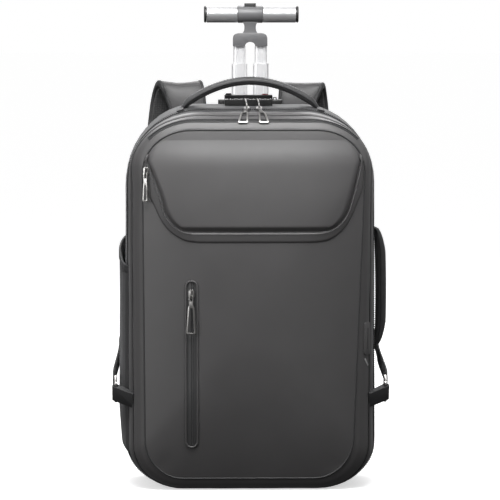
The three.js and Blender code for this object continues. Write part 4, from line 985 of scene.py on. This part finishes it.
for side in ("left", "right"):
    centre, half = axis_of("wheel_" + side)
    wide, r = half.x, half.z
    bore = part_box("axle_" + side)[1].z - centre.z + 0.0003
    profile = [
        (-wide, r * 0.80), (-wide, r * 0.93), (-wide + 0.0012, r * 0.985), (-wide + 0.003, r),
        (-0.0012, r), (-0.0008, r - 0.0008), (0.0008, r - 0.0008), (0.0012, r),
        (wide - 0.003, r), (wide - 0.0012, r * 0.985), (wide, r * 0.93), (wide, r * 0.80),
        (wide - 0.0035, r * 0.76), (wide - 0.0035, r * 0.36), (wide - 0.0005, r * 0.32),
        (wide - 0.0005, bore), (-wide + 0.0005, bore), (-wide + 0.0005, r * 0.32),
        (-wide + 0.0035, r * 0.36), (-wide + 0.0035, r * 0.76),
        (-wide, r * 0.80),
    ]
    turned("wheel_" + side + "_tyre", profile, centre, RUBBER, "wheel_" + side, steps=72)
print("grip and wheels turned")

# %% [markdown]
# The trolley's tubes are drawn profiles: a rounded rectangle with two fine grooves down its front and its
# back. The outline is walked once outside and once inside, and lofted along the tube into one closed wall.

# %% Trolley tubes
GROOVE_AT, GROOVE_HALF, GROOVE_DEEP = 0.36, 0.00045, 0.0006


def tube_outline(half_x, half_y, radius, grooved):
    points = []
    for cx, cy, start in ((1, 1, 0), (-1, 1, 90), (-1, -1, 180), (1, -1, 270)):
        for i in range(7):
            a = math.radians(start + 15 * i)
            points.append(
                (cx * (half_x - radius) + radius * math.cos(a), cy * (half_y - radius) + radius * math.sin(a))
            )
        if grooved and start in (0, 180):
            way = -1 if start == 0 else 1
            for centre in (-GROOVE_AT * way * half_x, GROOVE_AT * way * half_x):
                for step, deep in ((-1, 0), (-0.5, 1), (0.5, 1), (1, 0)):
                    points.append((centre + way * step * GROOVE_HALF, cy * (half_y - deep * GROOVE_DEEP)))
    return points


def profiled_tube(node, wall, edge=0.0003):
    low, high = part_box(node)
    middle, half = (low + high) / 2, (high - low) / 2
    radius = half.y * 0.76

    def ring(z, inward, grooved=True):
        flat = tube_outline(half.x - inward, half.y - inward, radius - inward, grooved)
        return [Vector((middle.x + x, middle.y + y, z)) for x, y in flat]

    outer = [ring(low.z, edge), ring(low.z + edge, 0.0), ring(high.z - edge, 0.0), ring(high.z, edge)]
    inner = [ring(high.z, wall), ring(low.z, wall)]
    body = frame["nodes"][node]["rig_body"]
    finished(node + "_profile", loft([*outer, *inner, outer[0]]), DRAWN, body=body, replaces=node, sharp=30)


for side in ("left", "right"):
    profiled_tube("mid_tube_" + side, 0.0016)
    profiled_tube("inner_tube_" + side, 0.0012)
print("tubes profiled")

# %% [markdown]
# The carrying handle on top is a foam roll covered in a smooth dark cloth: it bows up from two sewn ends.
# Along both of its edges runs a piping, with a row of stitches inside it. One route gives the pad, the
# piping and the thread.

# %% Top handle
def pad_frames(stations):
    """Each station is (middle, way across, width, thickness); the ways across and out are squared up."""
    last = len(stations) - 1
    for i, (at, across, width, thick) in enumerate(stations):
        way = (stations[min(i + 1, last)][0] - stations[max(i - 1, 0)][0]).normalized()
        side = (across - way * across.dot(way)).normalized()
        yield at, side, way.cross(side), width, thick


def band_rings(stations, sides, squareness):
    """Rings of a pad, from its stations."""
    return [
        [at + side * (a * width / 2) + rise * (b * thick / 2) for a, b in oval(sides, squareness)]
        for at, side, rise, width, thick in pad_frames(stations)
    ]


def band_line(stations, across_share, rise_share):
    """A line along a pad, at shares of its half width and half thickness."""
    return [
        at + side * (across_share * width / 2) + rise * (rise_share * thick / 2)
        for at, side, rise, width, thick in pad_frames(stations)
    ]


HANDLE = {"half_span": 0.091, "rise": 0.0345, "width": 0.024, "thick": 0.0105, "end": 0.004, "depth": 0.45}


def handle_stations(steps=64):
    h = HANDLE
    foot = section(h["depth"])["top"] * BODY_HEIGHT - h["thick"] / 2 - GAP
    stations = []
    for i in range(steps + 1):
        t = -1 + 2 * i / steps
        end = smooth_step(0.0, 1.0, min(1.0, (1 - abs(t)) / 0.16))
        thick = lerp(h["end"], h["thick"], end)
        z = foot + thick / 2 + h["rise"] * (1 - t * t)
        at = Vector((t * h["half_span"], depth_y(h["depth"]), z))
        stations.append((at, Vector((0, 1, 0)), lerp(h["width"] * 0.8, h["width"], end), thick))
    return stations


def padded_band(name, stations, replaces, edge, seams, squareness=3.0):
    """A pad along a route, with piping of an edge's thickness and stitches along its seams."""
    bm = loft(band_rings(stations, sides=28, squareness=squareness), capped=True)
    pad = finished(name, bm, HANDLE_CLOTH, replaces=replaces)
    for side, word in ((-1, "front"), (1, "rear")):
        line = band_line(stations, side * 0.97, 0.0)
        finished(f"{name}_{word}_piping", sweep(line, edge, edge, closed=False, taper=0.5), TAPE)
    stitches(name + "_stitches", [band_line(stations, across, rise) for across, rise in seams])


handle = handle_stations()
outer_seams = ((0.66, 0.97), (-0.66, 0.97))
inner_seams = ((-0.66, -0.97), (0.66, -0.97))
padded_band("top_handle_pad", handle, "top_handle", 0.0028, seams=outer_seams + inner_seams)
print("top handle: rises", round(max(s[0].z for s in handle), 4))

# %% [markdown]
# In front of each end of the handle a short tab of ribbed tape is boxed down with stitches, where the strap
# inside the handle is anchored. It follows the curve of the shoulder.

# %% Handle tabs
TAB_WIDTH, TAB_LENGTH, TAB_THICK = 0.0092, 0.0155, 0.0017


def handle_tab(side, word):
    x = side * HANDLE["half_span"]
    front = depth_y(HANDLE["depth"]) - HANDLE["width"] / 2 - 0.0002
    stations = []
    for i in range(9):
        y = front - TAB_LENGTH * i / 8
        z = top_height((y - FRONT_SEAM_Y) / CASE_DEPTH, x) + 0.0018 + TAB_THICK / 2
        stations.append((Vector((x, y, z)), Vector((1, 0, -side * 0.25)), TAB_WIDTH, TAB_THICK))
    finished(
        f"handle_tab_{word}_tape", loft(band_rings(stations, sides=16, squareness=8), capped=True), TAPE,
        replaces="handle_tab_" + word,
    )
    stitches(f"handle_tab_{word}_stitches", [band_line(stations, across, 1.05) for across in (-0.7, 0.7)])


for side, word in ((-1, "left"), (1, "right")):
    handle_tab(side, word)

# %% [markdown]
# Each shoulder strap is a flat foam pad that is sewn to the top of the back, stands up in a loop over the
# bag's shoulder and falls down the back. Its route is a short table. One curve through it is walked in even
# steps and eased, and it carries the pad, two bound edges, the lining, the stitches and the quilting dips
# across the pad.

# %% Shoulder straps
BACK_PAD, BACK_CROWN = 0.009, 0.006  # the back panel's foam, and how far its middle swells out
STRAP_THICK, STRAP_END_THICK = 0.012, 0.008
STRAP_OFF, STRAP_SUNK = 0.0022, 0.008  # off the swollen back, less how deep the sewn end sinks in
STRAP_BACK = depth_y(1) + BACK_PAD + BACK_CROWN + STRAP_OFF + STRAP_THICK / 2 - STRAP_SUNK
STRAP_ROUTE = (  # left x, right x, distance behind the back, height as a share, width
    (75, 62, 1, 0.93, 46), (79, 64, 1, 0.99, 49), (84, 68, 5, 1.034, 55), (89, 72, 14, 1.056, 60),
    (94, 74, 24, 1.036, 62), (99, 77, 28, 0.99, 62), (106, 84, 17, 0.86, 60), (108, 98, 11, 0.7, 56),
    (111, 109, 9, 0.55, 48), (114, 114, 9, 0.44, 42),
)
STRAP_STEPS = 120
STRAP_SOFTENING = 30  # passes that ease the bend over the loop's top
STRAP_SEAMS = (0.75, 5.4, 6.6, 7.6)  # quilting seams, as rows of the route
QUILT_DEPTH, QUILT_SPREAD = 0.0022, 0.05
BINDING = 0.0052


def strap_stations(side):
    column = 0 if side < 0 else 1
    points = [(side * r[column] / 1000, STRAP_BACK + r[2] / 1000, r[3] * BODY_HEIGHT) for r in STRAP_ROUTE]
    fine = curve_through(points, STRAP_STEPS * 4)
    walk = [0.0]
    for a, b in zip(fine, fine[1:]):
        walk.append(walk[-1] + (b - a).length)
    line, places, k = [], [], 0
    for i in range(STRAP_STEPS + 1):
        want = walk[-1] * i / STRAP_STEPS
        while k < len(walk) - 2 and walk[k + 1] < want:
            k += 1
        t = (want - walk[k]) / (walk[k + 1] - walk[k])
        line.append(fine[k].lerp(fine[k + 1], t))
        places.append((k + t) / (len(fine) - 1) * (len(STRAP_ROUTE) - 1))
    for _ in range(STRAP_SOFTENING):
        line[1:-1] = [(a + b * 2 + c) / 4 for a, b, c in zip(line, line[1:], line[2:])]
    stations = []
    for i, (at, place) in enumerate(zip(line, places)):
        t = i / STRAP_STEPS
        row = min(len(STRAP_ROUTE) - 2, int(place))
        width = lerp(STRAP_ROUTE[row][4], STRAP_ROUTE[row + 1][4], place - row) / 1000
        thin = smooth_step(0, 1, min(1.0, min(t, 1 - t) * 12))
        dip = sum(
            QUILT_DEPTH * math.exp(-(((place - seam) / QUILT_SPREAD) ** 2)) for seam in STRAP_SEAMS
        )
        thick = lerp(STRAP_END_THICK, STRAP_THICK, thin) - dip
        stations.append((at, Vector((1, 0, 0)), width - 0.002, thick))
    return stations


def shoulder_strap(side, word):
    stations = strap_stations(side)
    name = f"strap_{word}_pad"
    pad = finished(
        name, loft(band_rings(stations, sides=40, squareness=3.2), capped=True), STRAP_CLOTH,
        replaces="shoulder_strap_" + word,
    )
    for edge in (-1, 1):
        line = band_line(stations, edge * 0.94, 0.0)
        rings = [
            (at, Vector((1, 0, 0)), BINDING, 0.0078 * thick / STRAP_THICK + 0.0012)
            for at, (_, _, _, thick) in zip(line, stations)
        ]
        finished(
            f"strap_{word}_binding_{'left' if edge < 0 else 'right'}",
            loft(band_rings(rings, sides=14, squareness=2.8), capped=True), TAPE,
        )
    corners = ((-0.88, 0.8), (-0.82, 1.12), (0.82, 1.12), (0.88, 0.8))
    lines = [band_line(stations, across, rise) for across, rise in corners]
    finished(f"strap_{word}_lining", loft(list(zip(*lines)), capped=True), MESH_CLOTH)
    across = (-0.84, 0.84)
    stitches(f"strap_{word}_stitches", [band_line(stations, a, r) for a in across for r in (0.86, -0.86)])


for side, word in ((-1, "left"), (1, "right")):
    shoulder_strap(side, word)
print("shoulder straps made")

# %% [markdown]
# The side handle lies flat on the right side, sewn down at both ends: the same kind of pad as the top
# handle.

# %% Side handle
SIDE_HANDLE = {
    "middle": 0.522, "half_span": 0.076, "stand_off": 0.0032, "width": 0.024, "thick": 0.014, "end": 0.004,
    "depth": 0.55,
}


def side_handle_stations(steps=56):
    h = SIDE_HANDLE
    stations = []
    for i in range(steps + 1):
        t = -1 + 2 * i / steps
        z = h["middle"] * BODY_HEIGHT + t * h["half_span"]
        full = math.sqrt(1 - min(1.0, t * t))
        thick = lerp(h["end"], h["thick"], min(1.0, full * 1.25))
        x = half_width(h["depth"], z) + GAP + thick / 2 + h["stand_off"] * full
        stations.append((Vector((x, depth_y(h["depth"]), z)), Vector((0, 1, 0)), h["width"], thick))
    return stations


padded_band(
    "side_handle_pad", side_handle_stations(), "side_handle", 0.0026, seams=outer_seams, squareness=2.6
)

# %% [markdown]
# The bottle pocket on the left is a slack piece of the plain weave, sewn down at its front, rear and foot.
# A bound edge gathers its mouth. The cloth stands off the side by an amount that depends on the place
# across and up the pocket, with small gathers under the binding.

# %% Side pocket
SIDE_POCKET = {"wall": 0.002, "bulge": 0.0089, "edge": 0.0026, "front": 0.23, "back": 0.93, "floor": 0.09}
POCKET_MOUTH = (0.575, 0.64)  # heights of the mouth at its front and its back, as shares
POCKET_REACH = 0.119  # from the pocket's front edge to its back edge


def pocket_off(u, v):
    p = SIDE_POCKET
    full = math.sin(math.pi * min(1.0, max(0.0, u))) ** 0.7 * min(1.0, 0.3 + v * 3)
    gathers = 0.0005 * math.sin(u * math.tau * 17 + math.sin(u * 9)) * smooth_step(0.72, 1.0, v) * full
    folds = 0.0009 * noise.noise(Vector((u * 4, v * 3, 9))) * full
    return p["edge"] + (p["bulge"] - p["edge"]) * full + gathers + folds - 0.0002


def pocket_sheet(name, low, high, lift, material, replaces, rows, wall):
    p = SIDE_POCKET
    bm = bmesh.new()
    columns = 90
    bmesh.ops.create_grid(bm, x_segments=columns, y_segments=rows, size=1.0)
    for vert in bm.verts:
        u, v = (vert.co.x + 1) / 2, (vert.co.y + 1) / 2
        share = lerp(p["front"], p["back"], u)
        mouth, floor_z = lerp(*POCKET_MOUTH, u) * BODY_HEIGHT, p["floor"] * BODY_HEIGHT
        z = lerp(low(mouth, floor_z), high(mouth), v)
        t = min(1.0, (z - floor_z) / (mouth - floor_z))
        rim = min(u, 1 - u) * POCKET_REACH
        foot = smooth_step(0.0, 0.006, z - floor_z) if lift == 0.0 else 1.0
        off = lerp(0.0008, pocket_off(u, t) + lift, smooth_step(0.0, 0.004, rim) * foot)
        vert.co = (-half_width(share, z) - off, depth_y(share), z)
    bmesh.ops.recalc_face_normals(bm, faces=bm.faces[:])
    if sum(f.normal.x for f in bm.faces) > 0:
        bmesh.ops.reverse_faces(bm, faces=bm.faces[:])
    return finished(name, bm, material, replaces=replaces, wall=wall, sharp=60)


pocket_sheet(
    "bottle_pocket_cloth", lambda mouth, foot: foot, lambda mouth: mouth, 0.0, WOVEN, "side_pocket", 60,
    SIDE_POCKET["wall"],
)
pocket_sheet(
    "bottle_pocket_binding", lambda mouth, foot: mouth - 0.0045, lambda mouth: mouth + 0.005, 0.0008, TAPE,
    "side_pocket_binding", 8, 0.0024,
)
print("bottle pocket made")

# %% [markdown]
# A strong tape folds round the bar of each side ring and is sewn into the deep seam; another one runs from
# the ring round the back corner to the foot of its shoulder strap. Webbing has ribs along it and lies flat,
# so the solids' own shape is kept and only their edges are rounded.

# %% Tabs, webbing and port flap
for node, material, edge in (
    ("ring_tab_left", WEBBING, 0.0005), ("ring_tab_right", WEBBING, 0.0005),
    ("strap_webbing_left", WEBBING, 0.0004), ("strap_webbing_right", WEBBING, 0.0004),
    ("port_flap", COATED, 0.0007),
):
    dressed(node, material, edge)

PORT_SHARE, SLIT_OUT = 0.072, 0.0019
flap_low, flap_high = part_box("port_flap")
slit = [
    Vector((half_width(PORT_SHARE, z) + SLIT_OUT, depth_y(PORT_SHARE), z))
    for z in (lerp(flap_low.z + 0.008, flap_high.z - 0.008, i / 12) for i in range(13))
]
finished("port_slit", sweep(slit, 0.0014, 0.0012, closed=False, up=Vector((1, -0.3, 0))), TAPE)
print("port slit:", round(slit[-1].z - slit[0].z, 4), "long")

# %% [markdown]
# The back is foam under spacer mesh, with three level channels and an upright one where air can pass. The
# pad is a loft of shrinking outlines, as the front is, and the channels are grooves in its thickness.

# %% Back panel
BACK_CHANNELS = ((0.165, 0.009), (0.305, 0.009), (0.415, 0.008))  # height, half width
CHANNEL_DEPTH, SPINE_HALF = 0.0062, 0.012


def back_relief(x, z):
    groove = 0.0
    for height, half in BACK_CHANNELS:
        groove = max(groove, math.exp(-(((z - height) / half) ** 2)))
    groove = max(groove, 0.85 * math.exp(-((x / SPINE_HALF) ** 2)))
    soft = 0.0006 * noise.noise(Vector((x * 14, 7.0, z * 12)))
    return soft - CHANNEL_DEPTH * groove


def closer(ring, step):
    """The same outline with more points, none further apart than a step."""
    points = []
    for k, (bx, bz) in enumerate(ring):
        ax, az = ring[k - 1]
        parts = max(1, math.ceil(math.hypot(bx - ax, bz - az) / step))
        points += [(lerp(ax, bx, i / parts), lerp(az, bz, i / parts)) for i in range(1, parts + 1)]
    return points


def back_panel():
    ring = closer(outline(1.0), 0.005)
    middle = BODY_HEIGHT / 2
    floor_z = BASE_TOP + 0.0006
    rows = [(1.0, 0.0), (1.0, 0.35), (0.997, 0.7), (0.99, 0.92)]  # size of the outline, share of the foam
    rows += [(0.98 - 0.014 * i, 1.0) for i in range(68)]
    rings = []
    for s, thick in rows:
        loop = []
        for x, z in ring:
            px, pz = x * s, max(floor_z + 0.0004 * (1 - s), middle + (z - middle) * s)
            swell = (BACK_CROWN * (1 - s * s) + back_relief(px, pz)) * (thick == 1.0)
            y = depth_y(1) + GAP + BACK_PAD * thick + swell
            loop.append(Vector((px, y, pz)))
        rings.append(loop)
    bm = loft(rings, capped=True)
    return finished("back_cushion", bm, MESH_CLOTH, replaces="back_panel")


BACK = back_panel()
print("back panel:", len(BACK.data.polygons), "faces")

# %% [markdown]
# The floor is a plain pale sheet, which isn't part of the bag. The light is a studio's: a soft box over the
# front, which makes the upper part of the padded front shine and leaves its foot dark, one from the left, a
# weak one from the right, a large one behind, and a surround that is brighter above than below.

# %% Floor and light
floor_mesh = bmesh.new()
bmesh.ops.create_grid(floor_mesh, x_segments=1, y_segments=1, size=30.0)
floor_data = bpy.data.meshes.new("floor")
floor_mesh.to_mesh(floor_data)
floor_mesh.free()
floor = bpy.data.objects.new("floor", floor_data)
bpy.context.scene.collection.objects.link(floor)
paper, _, paper_shader = new_material("floor_paper", Base_Color=(0.9, 0.9, 0.9, 1), Roughness=0.9)
paper_shader.inputs["Emission Color"].default_value = (1, 1, 1, 1)
paper_shader.inputs["Emission Strength"].default_value = 0.55
floor_data.materials.append(paper)
floor.visible_diffuse = floor.visible_glossy = False


def soft_box(name, place, aim, width, height, watts):
    light = bpy.data.lights.new(name, "AREA")
    light.shape, light.size, light.size_y, light.energy = "RECTANGLE", width, height, watts
    made = bpy.data.objects.new(name, light)
    made.location = place
    made.rotation_euler = (Vector(place) - Vector(aim)).to_track_quat("Z", "Y").to_euler()
    bpy.context.scene.collection.objects.link(made)


soft_box("top_box", (-0.05, -0.5, 1.15), (0, -0.05, 0.42), 0.8, 0.5, 15)
soft_box("left_box", (-1.8, -1.6, 0.8), (0, 0, 0.25), 0.7, 1.4, 16)
soft_box("right_box", (2.2, -0.8, 1.0), (0, 0, 0.3), 0.7, 1.4, 4)
soft_box("back_box", (0.0, 2.4, 2.2), (0, 0, 0.3), 2.4, 1.2, 50)

# The surround is bright above and dim below for the bag, and plain white where the camera sees it bare.
world = bpy.data.worlds.new("studio")
world.use_nodes = True
bpy.context.scene.world = world
sky = world.node_tree
background = sky.nodes["Background"]
toward = make_node(sky, "ShaderNodeTexCoord").outputs["Generated"]
upward = make_node(sky, "ShaderNodeSeparateXYZ", Vector=toward)
glow = make_node(
    sky, "ShaderNodeMapRange", Value=upward.outputs["Z"], From_Min=-0.4, From_Max=0.9, To_Min=0.05, To_Max=0.6
)
seen = make_node(sky, "ShaderNodeLightPath").outputs["Is Camera Ray"]
above = glow.outputs["Result"]
strength = make_node(sky, "ShaderNodeMix", {"data_type": "FLOAT"}, Factor=seen, A=above, B=1.0)
background.inputs["Color"].default_value = (1, 1, 1, 1)
sky.links.new(strength.outputs["Result"], background.inputs["Strength"])
bpy.context.scene.view_settings.view_transform = "Standard"
print("studio ready")
